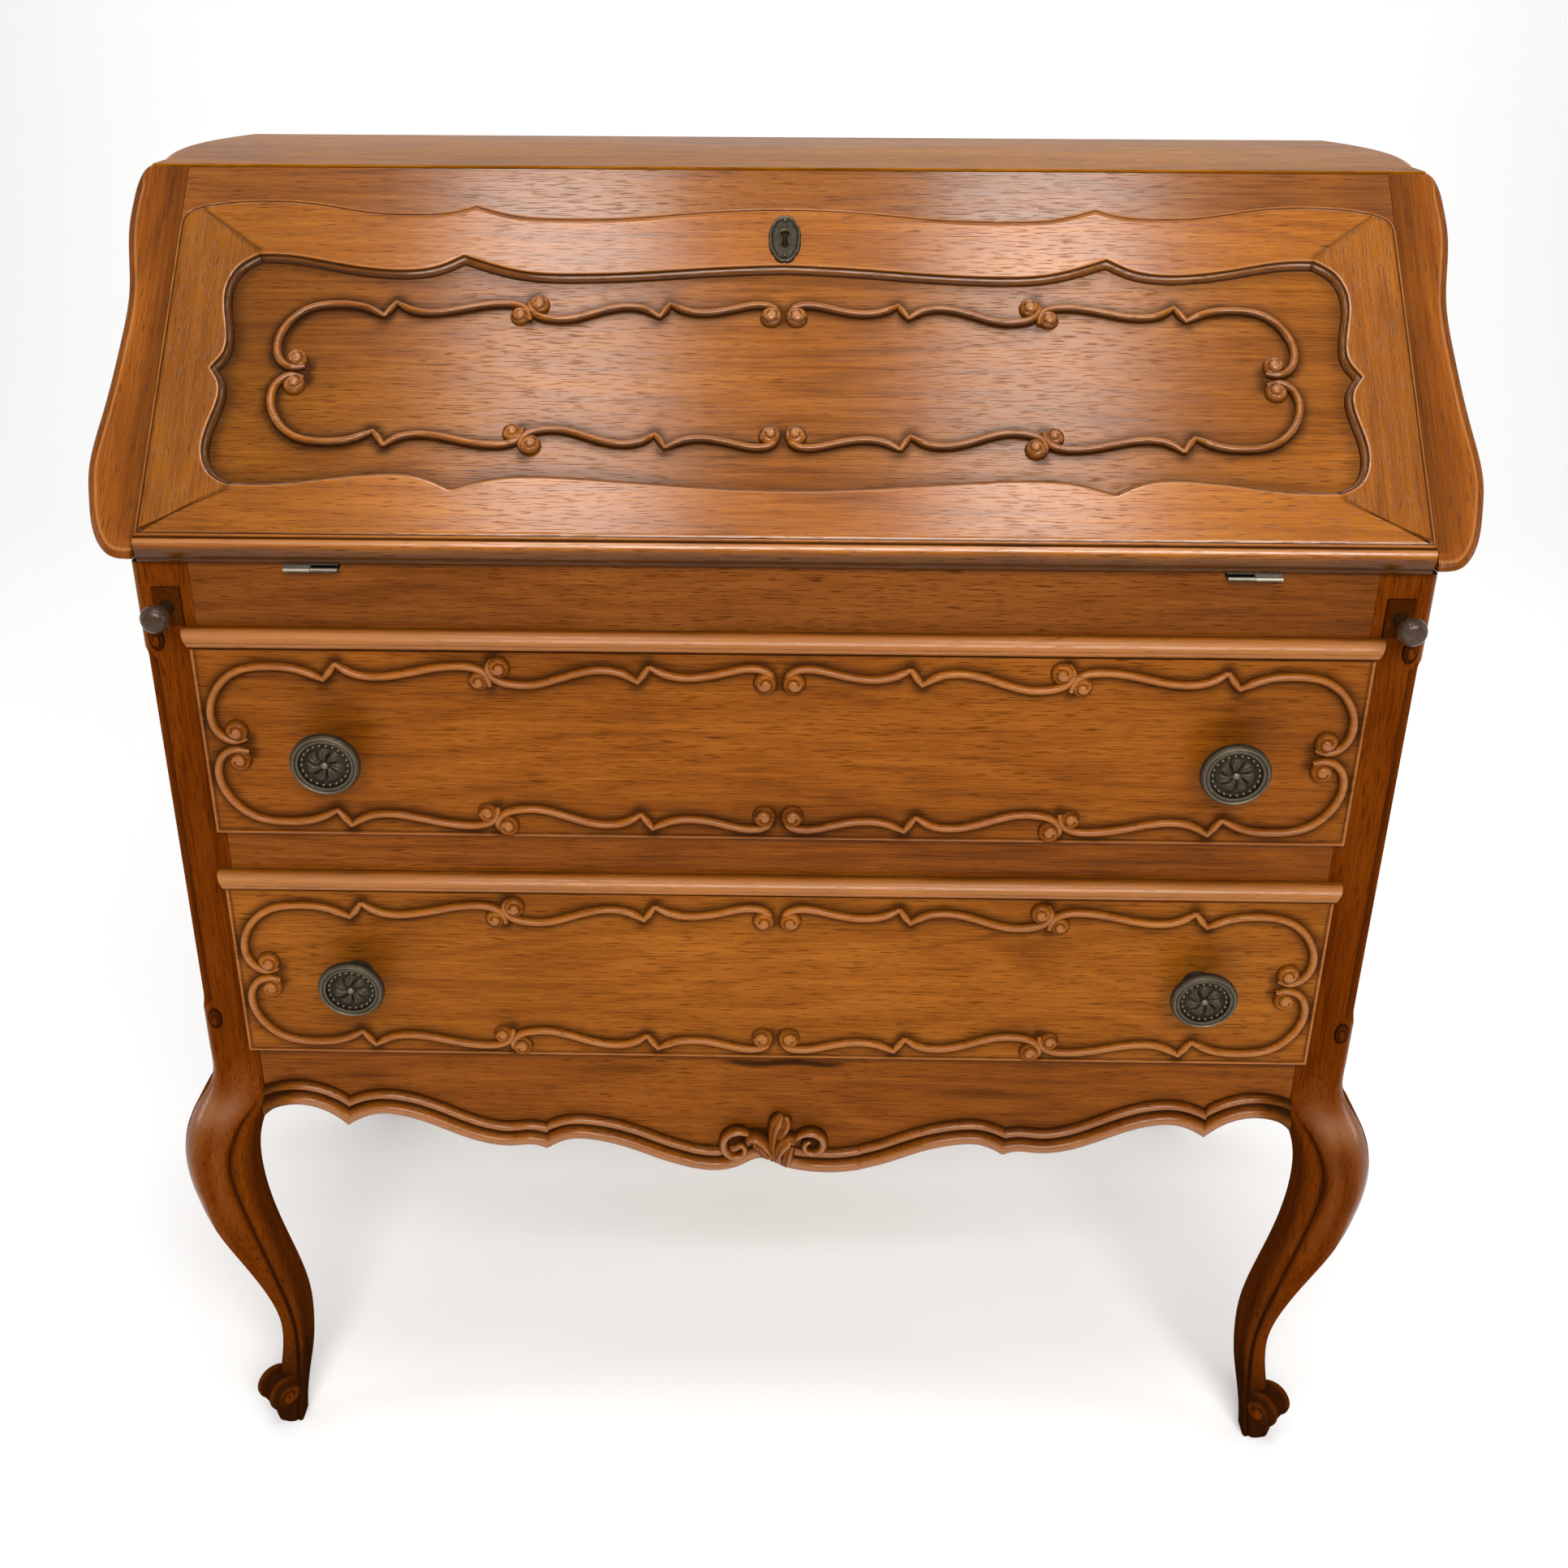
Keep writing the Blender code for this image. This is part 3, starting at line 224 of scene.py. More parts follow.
def tube(rings, tone=0.0):
    """Closed rings one after the other, with both ends drawn to their middles."""
    caps = np.broadcast_to(rings.mean(1, keepdims=True), rings.shape)
    tones = np.broadcast_to(np.asarray(tone, float), rings.shape[:2])
    whole, tones = (np.concatenate([a[:1], b, a[-1:]]) for a, b in ((caps, rings), (tones, tones)))
    return surface(whole, close_cols=True, tone=tones)


def bar(section, low, high, place):
    """A closed section of (a, b), or (a, b, tone), carried straight along x from low to high."""
    a, b, *tone = np.array(section, float).T
    return tube(place(np.array([low, high])[:, None], a[None], b[None]), *tone)


def slab(x, a, b, place, ease):
    """A box with eased edges: two square-cornered rings drawn in at each face."""
    corners = np.array([(-1, -1), (1, -1), (1, 1), (-1, 1)], float)
    middle = np.array([(x[0] + x[1]) / 2, (a[0] + a[1]) / 2])
    half = np.array([(x[1] - x[0]) / 2, (a[1] - a[0]) / 2])
    levels = np.array([b[0], b[0] + ease, b[1] - ease, b[1]])
    shrink = np.array([ease, 0.0, 0.0, ease])
    rings = middle + corners[None] * (half[None] - shrink[:, None])[:, None]
    return tube(place(rings[..., 0], rings[..., 1], levels[:, None]))


def rim(grid):
    """The border of a grid as one loop."""
    return np.concatenate([grid[0, :-1], grid[:-1, -1], grid[-1, :0:-1], grid[:0:-1, 0]])


def fan(loop):
    """A flat loop closed by triangles from its middle."""
    return surface(np.stack([loop, np.broadcast_to(loop.mean(0), loop.shape)]), close_cols=True)


def darkened(part, grime):
    """The same part, darker by that tone."""
    points, quads, tone = part
    return points, quads, clipped(tone + grime)


def piece(name, parts, finish, body, node):
    """One object in place of a CAD node: doubles merged, faces turned outwards, tone as a point attribute."""
    starts = np.cumsum([0] + [len(p[0]) for p in parts[:-1]])
    points = np.concatenate([p[0] for p in parts])
    quads = np.concatenate([p[1] + s for p, s in zip(parts, starts)])
    mesh = bpy.data.meshes.new(name)
    mesh.from_pydata(points.tolist(), [], quads.tolist())
    layer = mesh.attributes.new("tone", "FLOAT", "POINT")
    layer.data.foreach_set("value", np.concatenate([p[2] for p in parts]).astype(np.float32))
    bm = bmesh.new()
    bm.from_mesh(mesh)
    bmesh.ops.remove_doubles(bm, verts=bm.verts, dist=MERGED)
    bmesh.ops.dissolve_degenerate(bm, edges=bm.edges, dist=DEGENERATE)
    bmesh.ops.recalc_face_normals(bm, faces=bm.faces)
    bm.to_mesh(mesh)
    bm.free()
    mesh.materials.append(finish_for(finish))
    mesh.shade_smooth()
    mesh.set_sharp_from_angle(angle=SHARP)
    obj = bpy.data.objects.new(name, mesh)
    bpy.context.scene.collection.objects.link(obj)
    kind = FINISHES[finish][0]
    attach(obj, body)
    finish if kind == "metal" else kind
    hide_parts(node)


# Materials

class Finish:
    """A Principled material with a short way to add and link nodes."""

    def __init__(self, name):
        self.material = bpy.data.materials.new(name)
        self.material.use_nodes = True
        self.tree = self.material.node_tree
        self.shader = self.tree.nodes["Principled BSDF"]

    def node(self, kind, inputs=None, **settings):
        made = self.tree.nodes.new(kind)
        for key, value in settings.items():
            setattr(made, key, value)
        for key, value in (inputs or {}).items():
            self.set(made.inputs[key], value)
        return made

    def set(self, socket, value):
        if isinstance(value, bpy.types.NodeSocket):
            self.tree.links.new(value, socket)
        else:
            socket.default_value = value

    def shade(self, **values):
        """Set or link the shader's sockets, named with underscores for spaces."""
        for key, value in values.items():
            self.set(self.shader.inputs[key.replace("_", " ")], value)

    def math(self, operation, a, b):
        return self.node("ShaderNodeMath", {0: a, 1: b}, operation=operation).outputs[0]

    def noise(self, vector, detail, rough, scale=1.0):
        inputs = {"Vector": vector, "Scale": scale, "Detail": detail, "Roughness": rough}
        return self.node("ShaderNodeTexNoise", inputs).outputs["Fac"]

    def ramp(self, fac, stops):
        made = self.node("ShaderNodeValToRGB", {"Fac": fac})
        ramp = made.color_ramp
        while len(ramp.elements) < len(stops):
            ramp.elements.new(0.5)
        for element, (place, colour) in zip(ramp.elements, stops):
            element.position = place
            element.color = (*colour, 1.0)
        return made.outputs["Color"]

    def span(self, value, low, high, to_low, to_high):
        inputs = {"Value": value, "From Min": low, "From Max": high, "To Min": to_low, "To Max": to_high}
        return self.node("ShaderNodeMapRange", inputs).outputs["Result"]

    def mix(self, fac, a, b):
        """Colour a, or a link, mixed towards the colour b by fac."""
        made = self.node("ShaderNodeMix", data_type="RGBA")
        for socket, value in ((0, fac), (6, a), (7, (*b, 1.0))):
            self.set(made.inputs[socket], value)
        return made.outputs[2]

    def objects(self):
        return self.node("ShaderNodeTexCoord").outputs["Object"]

    def tone(self):
        made = self.node("ShaderNodeAttribute", attribute_name="tone", attribute_type="GEOMETRY")
        return made.outputs["Fac"]

    def bump(self, height, strength, distance):
        inputs = {"Height": height, "Strength": strength, "Distance": distance}
        self.shade(Normal=self.node("ShaderNodeBump", inputs).outputs["Normal"])


def scaled(colour, factors):
    """A colour times one factor or three."""
    return tuple(float(c) for c in np.array(colour) * factors)


GRAIN_TURNS = {             # turns object axes so that x runs along the grain
    "level": (radians(90), 0.0, 0.0),
    "upright": (0.0, radians(90), 0.0),
    "slope_level": (radians(-45), 0.0, 0.0),
    "slope_upright": (radians(-45), 0.0, radians(-90)),
    "flat": (0.0, 0.0, 0.0),
    "deep": (0.0, 0.0, radians(-90)),
}
SHIFT_ACROSS = 0.37         # a board's shift in the figure across the grain, over that along it
# Each noise of the wood: cells per metre along the grain and across it, detail, roughness
SLOW, BLOTCH = (1.5, 9.0, 2.5, 0.5), (3.0, 7.0, 3.0, 0.55)
STREAK, FIBRE, PORE = (8.0, 260.0, 5.0, 0.68), (24.0, 900.0, 3.0, 0.6), (62.0, 980.0, 1.0, 0.55)
BLOTCH_SHARE, STREAK_SHARE, FIBRE_SHARE = 0.38, 0.28, 0.34
FIGURE_MIDDLE = 0.48        # where the main colour lies in the mixed noise
TO_DARK, TO_LIGHT = 0.135, 0.155            # and how far from it the dark and light ones lie
PORE_RANGE = (0.58, 0.68)   # pores are where their noise passes this
PORE_DEPTH = (0.35, 0.65, 0.34, 0.72)       # a darker blotch shows its pores more
PORE_SHADE = 0.35           # colour of a pore as a share of the dark grain
PORE_SHEEN = 0.25           # sheen left in a pore, and under full grime and painted shade
SHADE_AND_GRIME_SHEEN = 0.3
# shares of the grime colour, for dirt and painted shade, and of the rubbed colour, for wear and painted
# highlight
SHADE_AND_GRIME_COVERS, RUBBED_AND_LIT_COVERS = 0.88, 0.70
HANDLED_FROM, HANDLED_TO = -0.35, -0.15     # tone over which the polish of handled wood gives way
SMOOTHER, ROUGHER = -0.03, 0.06             # roughness across the streaks
FIBRE_HEIGHT = 0.5
WOOD_BUMP = (0.22, 0.0006)  # strength, and depth in metres


def wood(name, kind, grain, tint, shift, polish, handled=None):
    """Waxed wood: contours of a slow noise as rings, fibre streaks, short pores, grime and painted shade,
    rubbed edges and painted highlights.
    """
    look = getattr(bpy.context.scene, f"desk_{kind}")
    f = Finish(name)
    turned = f.node("ShaderNodeMapping", {"Vector": f.objects(), "Rotation": GRAIN_TURNS[grain]})
    moved = {"Vector": turned.outputs[0], "Location": (shift, SHIFT_ACROSS * shift, 0.0)}
    turned = f.node("ShaderNodeMapping", moved).outputs[0]

    def noise(along, across, detail, rough):
        scale = {"Vector": turned, "Scale": (along, across, across)}
        return f.noise(f.node("ShaderNodeMapping", scale).outputs[0], detail, rough)

    rings = f.math("PINGPONG", f.math("MULTIPLY", noise(*SLOW), look.rings), 1.0)
    blotch, streak, fibre, pores = (noise(*settings) for settings in (BLOTCH, STREAK, FIBRE, PORE))
    fac = 0.0
    shares = ((rings, look.figure), (blotch, BLOTCH_SHARE), (streak, STREAK_SHARE), (fibre, FIBRE_SHARE))
    for value, share in shares:
        fac = f.math("ADD", f.math("MULTIPLY", value, share), fac)
    dark, mid, light = (scaled(shade, tint) for shade in (look.dark, look.mid, look.light))
    middle = FIGURE_MIDDLE + 0.5 * look.figure
    colour = f.ramp(fac, ((middle - TO_DARK, dark), (middle, mid), (middle + TO_LIGHT, light)))
    pore = f.math("MULTIPLY", f.span(pores, *PORE_RANGE, 0.0, 1.0), f.span(blotch, *PORE_DEPTH))
    colour = f.mix(pore, colour, scaled(dark, PORE_SHADE))
    tone = f.tone()
    # tone above 0 mixes in dirt and painted shade, below 0 wear and painted highlight
    colour = f.mix(f.span(tone, 0.0, 1.0, 0.0, SHADE_AND_GRIME_COVERS), colour, look.grime)
    colour = f.mix(f.span(tone, 0.0, -1.0, 0.0, RUBBED_AND_LIT_COVERS), colour, look.rubbed)
    handled = polish if handled is None else handled
    sheen = f.span(tone, HANDLED_FROM, HANDLED_TO, handled, polish)
    for value, least in ((tone, SHADE_AND_GRIME_SHEEN), (pore, PORE_SHEEN)):
        sheen = f.math("MULTIPLY", sheen, f.span(value, 0.0, 1.0, 1.0, least))
    sheen = f.math("MULTIPLY", sheen, look.specular)
    rough = f.span(streak, 0.3, 0.7, look.roughness + SMOOTHER, look.roughness + ROUGHER)
    f.shade(Base_Color=colour, Roughness=rough, Specular_IOR_Level=sheen, Specular_Tint=(*look.wax, 1.0))
    f.bump(f.math("SUBTRACT", f.math("MULTIPLY", fibre, FIBRE_HEIGHT), pore), *WOOD_BUMP)
    return f.material


MOTTLE_SCALE = 260.0        # patches per metre on cast metal
MOTTLE = (4.0, 0.6)         # detail and roughness of their noise
MOTTLED_SHADE, RECESS_SHADE = 0.55, 0.12    # colour of dark patches and of recesses, as shares of the metal's
WORN_COVERS, RECESS_COVERS = 0.8, 0.85
METALLIC = 0.85
METAL_SPECULAR = 0.5
DULLER, SHINIER = 0.08, -0.06               # roughness across the mottling
METAL_BUMP = (0.25, 0.0004)


def metal(name, colour, lightened, roughness):
    """Cast metal with patina: base colour mottled by noise, worn high spots and dark recesses by tone."""
    f = Finish(name)
    mottle = f.noise(f.objects(), *MOTTLE, MOTTLE_SCALE)
    tone = f.tone()
    base = f.mix(f.span(mottle, 0.35, 0.7, 0.0, 1.0), (*scaled(colour, MOTTLED_SHADE), 1.0), colour)
    base = f.mix(f.span(tone, 0.0, -1.0, 0.0, WORN_COVERS), base, lightened)
    base = f.mix(f.span(tone, 0.0, 1.0, 0.0, RECESS_COVERS), base, scaled(colour, RECESS_SHADE))
    rough = f.span(mottle, 0.3, 0.7, roughness + DULLER, roughness + SHINIER)
    # full tone takes the reflection away too, as on the keyhole's floor painted black as shade
    specular = f.span(tone, 0.0, 1.0, METAL_SPECULAR, 0.0)
    f.shade(Base_Color=base, Metallic=METALLIC, Roughness=rough, Specular_IOR_Level=specular)
    f.bump(mottle, *METAL_BUMP)
    return f.material


# Tints that multiply a wood's colours, and polishes as shares of the fall panel's
EVEN, RED, SHADE_DARK, WARM = (1.0, 1.0, 1.0), (0.52, 0.37, 0.29), (0.22, 0.17, 0.17), (0.80, 0.76, 0.85)
LID, RAILS, FIXED = (1.00, 1.00, 0.40), (1.18, 1.17, 0.35), (0.84, 0.82, 0.30)
GREYED, FADED = (0.21, 0.42, 3.4), (1.05, 1.22, 0.5)
BARE, DUSTY, DULL, MATT = 0.0, 0.0025, 0.008, 0.16
SATIN, GLOSSY, WAXED, BRIGHT = 0.5, 0.9, 1.0, 1.4

# Kind of wood, grain, tint, shift in the figure, polish, polish where handled, if it differs;
# or metal, its name, colour, worn colour and roughness
FINISHES = {
    "fall_ground": ("walnut", "slope_level", LID, 0.4, WAXED),
    "fall_rail": ("walnut", "slope_level", RAILS, 1.3, BRIGHT),
    "fixed_rail": ("walnut", "slope_level", FIXED, 3.1, BRIGHT),
    "fall_stile": ("walnut", "slope_upright", LID, 2.1, WAXED),
    "slope_stile": ("walnut", "slope_upright", (0.92, 0.84, 0.70), 0.9, SATIN),
    "upper_drawer": ("walnut", "level", (0.94, 0.90, 0.90), 2.7, MATT, SATIN),
    "lower_drawer": ("walnut", "level", EVEN, 4.4, MATT, SATIN),
    "rail": ("walnut", "level", (0.80, 0.74, 0.84), 5.2, MATT),
    "hinge_rail": ("walnut", "level", (0.66, 0.62, 0.90), 7.5, MATT),
    "apron": ("walnut", "level", (0.78, 0.72, 0.70), 6.0, MATT, GLOSSY),
    "leg": ("walnut", "upright", RED, 1.7, BARE, BRIGHT),
    "side": ("walnut", "upright", WARM, 3.3, DULL),
    "top": ("walnut", "flat", FADED, 0.2, DUSTY),
    "inside": ("walnut", "level", WARM, 7.5, MATT),
    "divider": ("walnut", "upright", WARM, 6.6, MATT),
    "writing_floor": ("walnut", "flat", WARM, 8.1, MATT),
    # the lopers are tinted near black, painted shade for their ends in the slots
    "loper": ("walnut", "deep", SHADE_DARK, 9.4, DULL, GLOSSY),
    "loper_knob": ("walnut", "deep", GREYED, 6.4, SATIN),
    "drawer": ("oak", "deep", EVEN, 3.8, MATT),
    "board": ("oak", "level", WARM, 4.9, MATT),
    "bronze": ("metal", "dark_bronze", (0.075, 0.059, 0.037), (0.27, 0.215, 0.14), 0.48),
    "brass": ("metal", "aged_brass", (0.17, 0.145, 0.105), (0.42, 0.38, 0.30), 0.40),
    "steel": ("metal", "lock_steel", (0.34, 0.33, 0.32), (0.6, 0.6, 0.6), 0.4),
}
MATERIALS = {}


def finish_for(key):
    """The finish of that name, made when a piece first asks for it."""
    if key not in MATERIALS:
        kind, *recipe = FINISHES[key]
        MATERIALS[key] = metal(*recipe) if kind == "metal" else wood(f"{key}_{kind}", kind, *recipe)
    return MATERIALS[key]


# Carved scroll cartouche, one quarter in millimetres from its centre

CARTOUCHE_HALF = np.array([414.5, 64.5])
SCROLL_RUNS = (
    ((4, 53), (8, 61), (18, 64.5), (36, 62), (63, 57), (84, 60), (94, 65)),
    ((93.5, 65.5), (97.5, 59.5), (103, 52.5)),
    ((102, 53), (113, 59.5), (130, 62), (155, 56.5), (180, 50), (194, 50.6), (205.5, 55), (209.5, 62),
     (206, 69.5)),
    ((209, 49), (211.5, 58), (219, 62.6), (230, 64), (248, 62.5), (286, 55.5), (308, 58), (320, 65)),
    ((319.5, 65.5), (323.5, 59.5), (330, 52)),
    ((329, 52.5), (346, 60), (368, 62.5), (392, 58), (409, 42), (414.5, 24), (410, 9.5), (400, 3.6),
     (390, 5.5)),
)
SCROLL_EYES = ((10.5, 53.5, 6.6), (202, 63.5, 6.4), (217, 53, 5.8), (397, 11.5, 6.6))
EYE = 1.34                  # the eyes are carved this much fuller than they were measured
BEAD_STEP = 1.6             # spacing of the points along a bead
BEAD_ARC = (-25, 205, 13)   # a bead's section: angles from and to, and points
BEAD_TIP = 0.62             # width at a bead's ends over that in its middle
BEAD_TAPER = 9.0            # how far from an end it starts to narrow
BEAD_SIDE = 3.2             # from a bead's middle to its side
BEAD_FOOT, BEAD_CREST, BEAD_UNDER = 0.95, 1.4, 0.85     # tone: painted shade by its foot, lighter on its crest as wear and painted highlight, more painted shade underneath
DOME_ROWS, DOME_COLS = 12, 40
DOME_HEIGHT = 0.78          # of a scroll's eye, in radii, as are the next two
GROOVE_DEPTH, GROOVE_HALF = 0.16, 0.10
GROOVE_START, GROOVE_GROWS = 0.34, 0.44     # radius of the groove's spiral, and its growth in a turn
DOME_STANDS, DOME_SUNK = 0.4, -1.5          # foot of the dome, and of the wall below it, in millimetres
# A dome is painted dark in its groove and round its foot as shade, and lighter on top as highlight
GROOVE_TONE, DOME_RIM_TONE, DOME_TONE = 0.9, 1.2, -0.45


def bead(path, place, width, height, grime):
    """A rounded bead on a ground: a half ellipse, narrowed towards both ends, carried along a path."""
    run = lengths(path)
    near_end = np.minimum(run, run[-1] - run)
    half = width / 2 * (BEAD_TIP + (1 - BEAD_TIP) * np.clip(near_end / BEAD_TAPER, 0, 1))
    side = mitres(path)
    across, up = arc(*BEAD_ARC).T[:, None]
    grid = path[:, None] + side[:, None] * (across * half[:, None])[..., None]
    # the side of a bead that faces down is painted darker, as shade
    below = np.clip(-side[:, 1:] * across, 0, 1)
    tone = clipped(BEAD_FOOT - BEAD_CREST * up + BEAD_UNDER * below + grime)
    return tube(place(grid[..., 0], grid[..., 1], up * (height * half / half.max())[:, None]), tone)


def button(radius, place, centre=(0.0, 0.0), flip=(1, 1)):
    """A scroll's eye: a dome h sqrt(1 - r^2), grooved along the spiral r = start + growth turn, in radii."""
    r = np.linspace(0, 1, DOME_ROWS)[:, None]
    turn = np.linspace(0, 1, DOME_COLS + 1)[None, :-1]
    groove = bell(r - (GROOVE_START + GROOVE_GROWS * turn), GROOVE_HALF)
    dome = DOME_HEIGHT * np.sqrt(np.maximum(1 - r ** 2, 0)) - GROOVE_DEPTH * groove
    up = radius * dome + DOME_STANDS
    tone = GROOVE_TONE * groove + DOME_RIM_TONE * r ** 3 + DOME_TONE
    r, tone, up = (np.concatenate([rows, rows[-1:]]) for rows in (r, tone, up))
    up[-1] = DOME_SUNK
    x, y = (c + radius * r * way(2 * pi * turn) * f for c, way, f in zip(centre, (np.cos, np.sin), flip))
    return surface(place(x, y, up), close_cols=True, tone=tone)


def cartouche(sizes, place, carving, grime=0.0):
    """The carved border: a quarter of beads and eyes mirrored about both centre lines."""
    scale = np.array(sizes) / CARTOUCHE_HALF
    width, height = carving.bead_width / MM, carving.bead_height / MM
    parts = []
    for flip in ((1, 1), (-1, 1), (1, -1), (-1, -1)):
        turn = scale * flip
        for run in SCROLL_RUNS:
            parts.append(bead(curve(run, BEAD_STEP) * turn, place, width, height, grime))
        for u, v, radius in SCROLL_EYES:
            parts.append(button(radius * EYE * scale[0] ** 0.5, place, np.array([u, v]) * turn, flip))
    return parts


DISTANCE_GROUPS = 12
# Painted shade beside the beads, round about them, and along the fall's moulding: tone, and reach from its
# source
SHADE_BESIDE, SHADE_ROUND, SHADE_FRAME = (0.78, 4.0), (0.10, 22.0), (0.45, 7.0)
# darkness of a patch on a ground
DARK_PATCH_TONE = 0.5
SHADE_STEP = 3.0            # spacing of the points that stand for the beads
GROUND_STEP = 3.2           # spacing of the ground's own points


def distance(here, points):
    """From each place to the nearest of some points, the points taken in groups to save memory."""
    shape = here.shape[:-1]
    here = here.reshape(-1, 2)
    near = np.full(len(here), np.inf)
    for group in np.array_split(points, DISTANCE_GROUPS):
        near = np.minimum(near, ((here[:, None] - group[None]) ** 2).sum(-1).min(1))
    return np.sqrt(near).reshape(shape)


def shade_near_cartouche(x, v, sizes):
    """Painted shade beside the beads: bells of the distance to the nearest bead's side."""
    scale = np.array(sizes) / CARTOUCHE_HALF
    points = np.concatenate([curve(run, SHADE_STEP) for run in SCROLL_RUNS]) * scale
    gap = np.maximum(distance(np.stack([np.abs(x), np.abs(v)], -1), points) - BEAD_SIDE, 0)
    return sum(tone * bell(gap, reach) for tone, reach in (SHADE_BESIDE, SHADE_ROUND))


def carved_ground(half_x, heights, levels, centre, sizes, place, edge, dark_patches, opening=None):
    """A flat ground with painted shade by its carving; the border drops as edge says: (distance in, drop,
    tone).
    """
    reach, drop, edge_tone = np.array(edge).T
    low, high = heights

    def lines(start, stop):
        inner = np.linspace(start + reach[-1], stop - reach[-1], int((stop - start) / GROUND_STEP))
        return np.concatenate([[start], start + reach[:-1], inner, (stop - reach[:-1])[::-1], [stop]])

    v, x = np.meshgrid(lines(low, high), lines(-half_x, half_x), indexing="ij")
    inset = np.minimum(half_x - np.abs(x), v - low)
    up = levels[1] - np.interp(inset, reach, drop)
    up[[0, -1]] = levels[0]
    up[:, [0, -1]] = levels[0]
    tone = shade_near_cartouche(x, v - centre, sizes) + np.interp(inset, reach, edge_tone)
    for patch_x, patch_v, radius in dark_patches:
        tone = tone + DARK_PATCH_TONE * np.exp(-((x - patch_x) ** 2 + (v - patch_v) ** 2) / radius ** 2)
    if opening is not None:
        tone = tone + SHADE_FRAME[0] * bell(distance(np.stack([x, v], -1), opening), SHADE_FRAME[1])
    grid = place(x, v, up)
    return [surface(grid, tone=clipped(tone)), fan(rim(grid))]


# The fall: mitred frame, sunk carved panel and nosing, on the slope

FALL_HALF = 451.9           # the CAD fall is narrower, so that it clears its rebate in any tolerance
FALL_BACK = -18.0
LIP_N = -4.0
PANEL_N = -6.2
PANEL_SEAT = -9.6           # how deep the panel's groove lies in the frame
PANEL_EDGE = ((0.0, 1.1, 0.0), (1.1, 0.0, 0.0))
PANEL_PLAY = 0.3
HOLE_HALF, HOLE_LOW, HOLE_HIGH = 416.5, 34.0, 238.0
BODY_TOP = 262.2
LID_CARTOUCHE = (369.0, 59.5)
LID_CENTRE = 135.5
LID_BEAD_SHADE = 0.25            # the fall's beads are painted darker than the drawers', as shade
# painted shade on the fall panel's left end
LID_SHADE_PATCHES = ((-450.0, LID_CENTRE, 160.0),)
LOCK_T = 249.0
FALL_TOP_RUNS = (
    ((0, 277.6), (35, 276.6), (78, 273.0), (125, 268.5), (165, 267.8), (200, 270), (231, 279)),
    ((231, 279), (246, 274), (275, 271.3), (310, 273), (350, 280), (388, 282.5), (420, 280.3), (435, 277.6)),
)
FALL_CORNER = ((435, 277.6), (443.5, 274.2), (449.5, 268.8), (FALL_HALF, 261))
CORNER_STEP = 1.0
PANEL_TOP_RUNS = (
    ((0, 222.5), (50, 220), (100, 216), (150, 213.5), (195, 216), (237, 229)),
    ((237, 229), (252, 221), (285, 216), (335, 222.5), (375, 229), (388, 229)),
)
PANEL_SIDE_RUNS = (
    ((388, 229), (399, 221), (406, 205), (405, 185), (401, 163), (402, 148), (409, 136)),
    ((409, 136), (402.5, 124), (402, 107), (407, 85), (407.5, 66), (401, 52), (390, 45.5)),
)
PANEL_BOTTOM_RUNS = (
    ((0, 43.5), (40, 44.5), (80, 47), (130, 50.5), (175, 52.7), (210, 49.5), (233, 42.5)),
    ((233, 42.5), (252, 51), (285, 53.7), (325, 49.5), (360, 45.3), (390, 45.5)),
)
# Moulding round the panel opening, its hollow and roll painted dark as shade, its arris lighter as wear and
# painted highlight: distance into the frame, height, tone
STICKING = (
    (0.0, -6.4, 1.0), (0.3, -5.4, 1.0), (0.9, -4.3, 0.8), (1.8, -3.3, 0.6), (2.9, -2.6, 0.5),
    (3.7, -2.3, 0.8), (4.2, -2.2, 1.0), (4.5, -1.2, 0.9), (4.9, -0.2, -0.5), (5.6, 0.0, -0.7),
    (6.6, 0.0, 0.0), (9.5, 0.0, 0.0),
)
# Edge of the fall, its groove painted dark as shade, its arris lighter as wear and painted highlight:
# distance in from its outline, height, tone
FALL_EDGE = (
    (5.5, 0.0, 0.0), (3.0, 0.0, 0.1), (2.4, -0.4, 0.9), (1.8, -0.4, 0.9), (1.3, 0.0, -0.7),
    (0.5, -0.1, -1.0), (0.0, -0.7, -0.9), (0.0, -1.8, 0.5), (0.0, LIP_N, 1.0),
)
# The rest of a member's section: which loop, height, tone
FALL_BODY = (
    ("body", LIP_N, 0.6), ("body", FALL_BACK, 0.0), ("hole", FALL_BACK, 0.0), ("hole", PANEL_SEAT, 0.4),
)
MITRE_GAP = 0.25
MITRE_GRIME, MITRE_REACH = 0.5, 1.4
FALL_ARRIS_REACH = 95.0         # the top edge's arris is lighter, as wear and painted highlight, this far from the lock, the rest by the share below
FALL_ARRIS_SHARE = 0.40
LID_SHADE, LID_SHADED = 0.24, (180.0, 400.0)           # painted shade: the lid is darker towards its left end
FALL_MEMBERS = (            # word for the piece, place in the loops, finish, CAD node
    ("top", 0, "fall_rail", "fall_top_rail"), ("right", 1, "fall_stile", "fall_stile_right"),
    ("left", 3, "fall_stile", "fall_stile_left"), ("bottom", 2, "fall_rail", "fall_bottom_rail"),
)
NOSE_HALF = FALL_HALF + 0.4
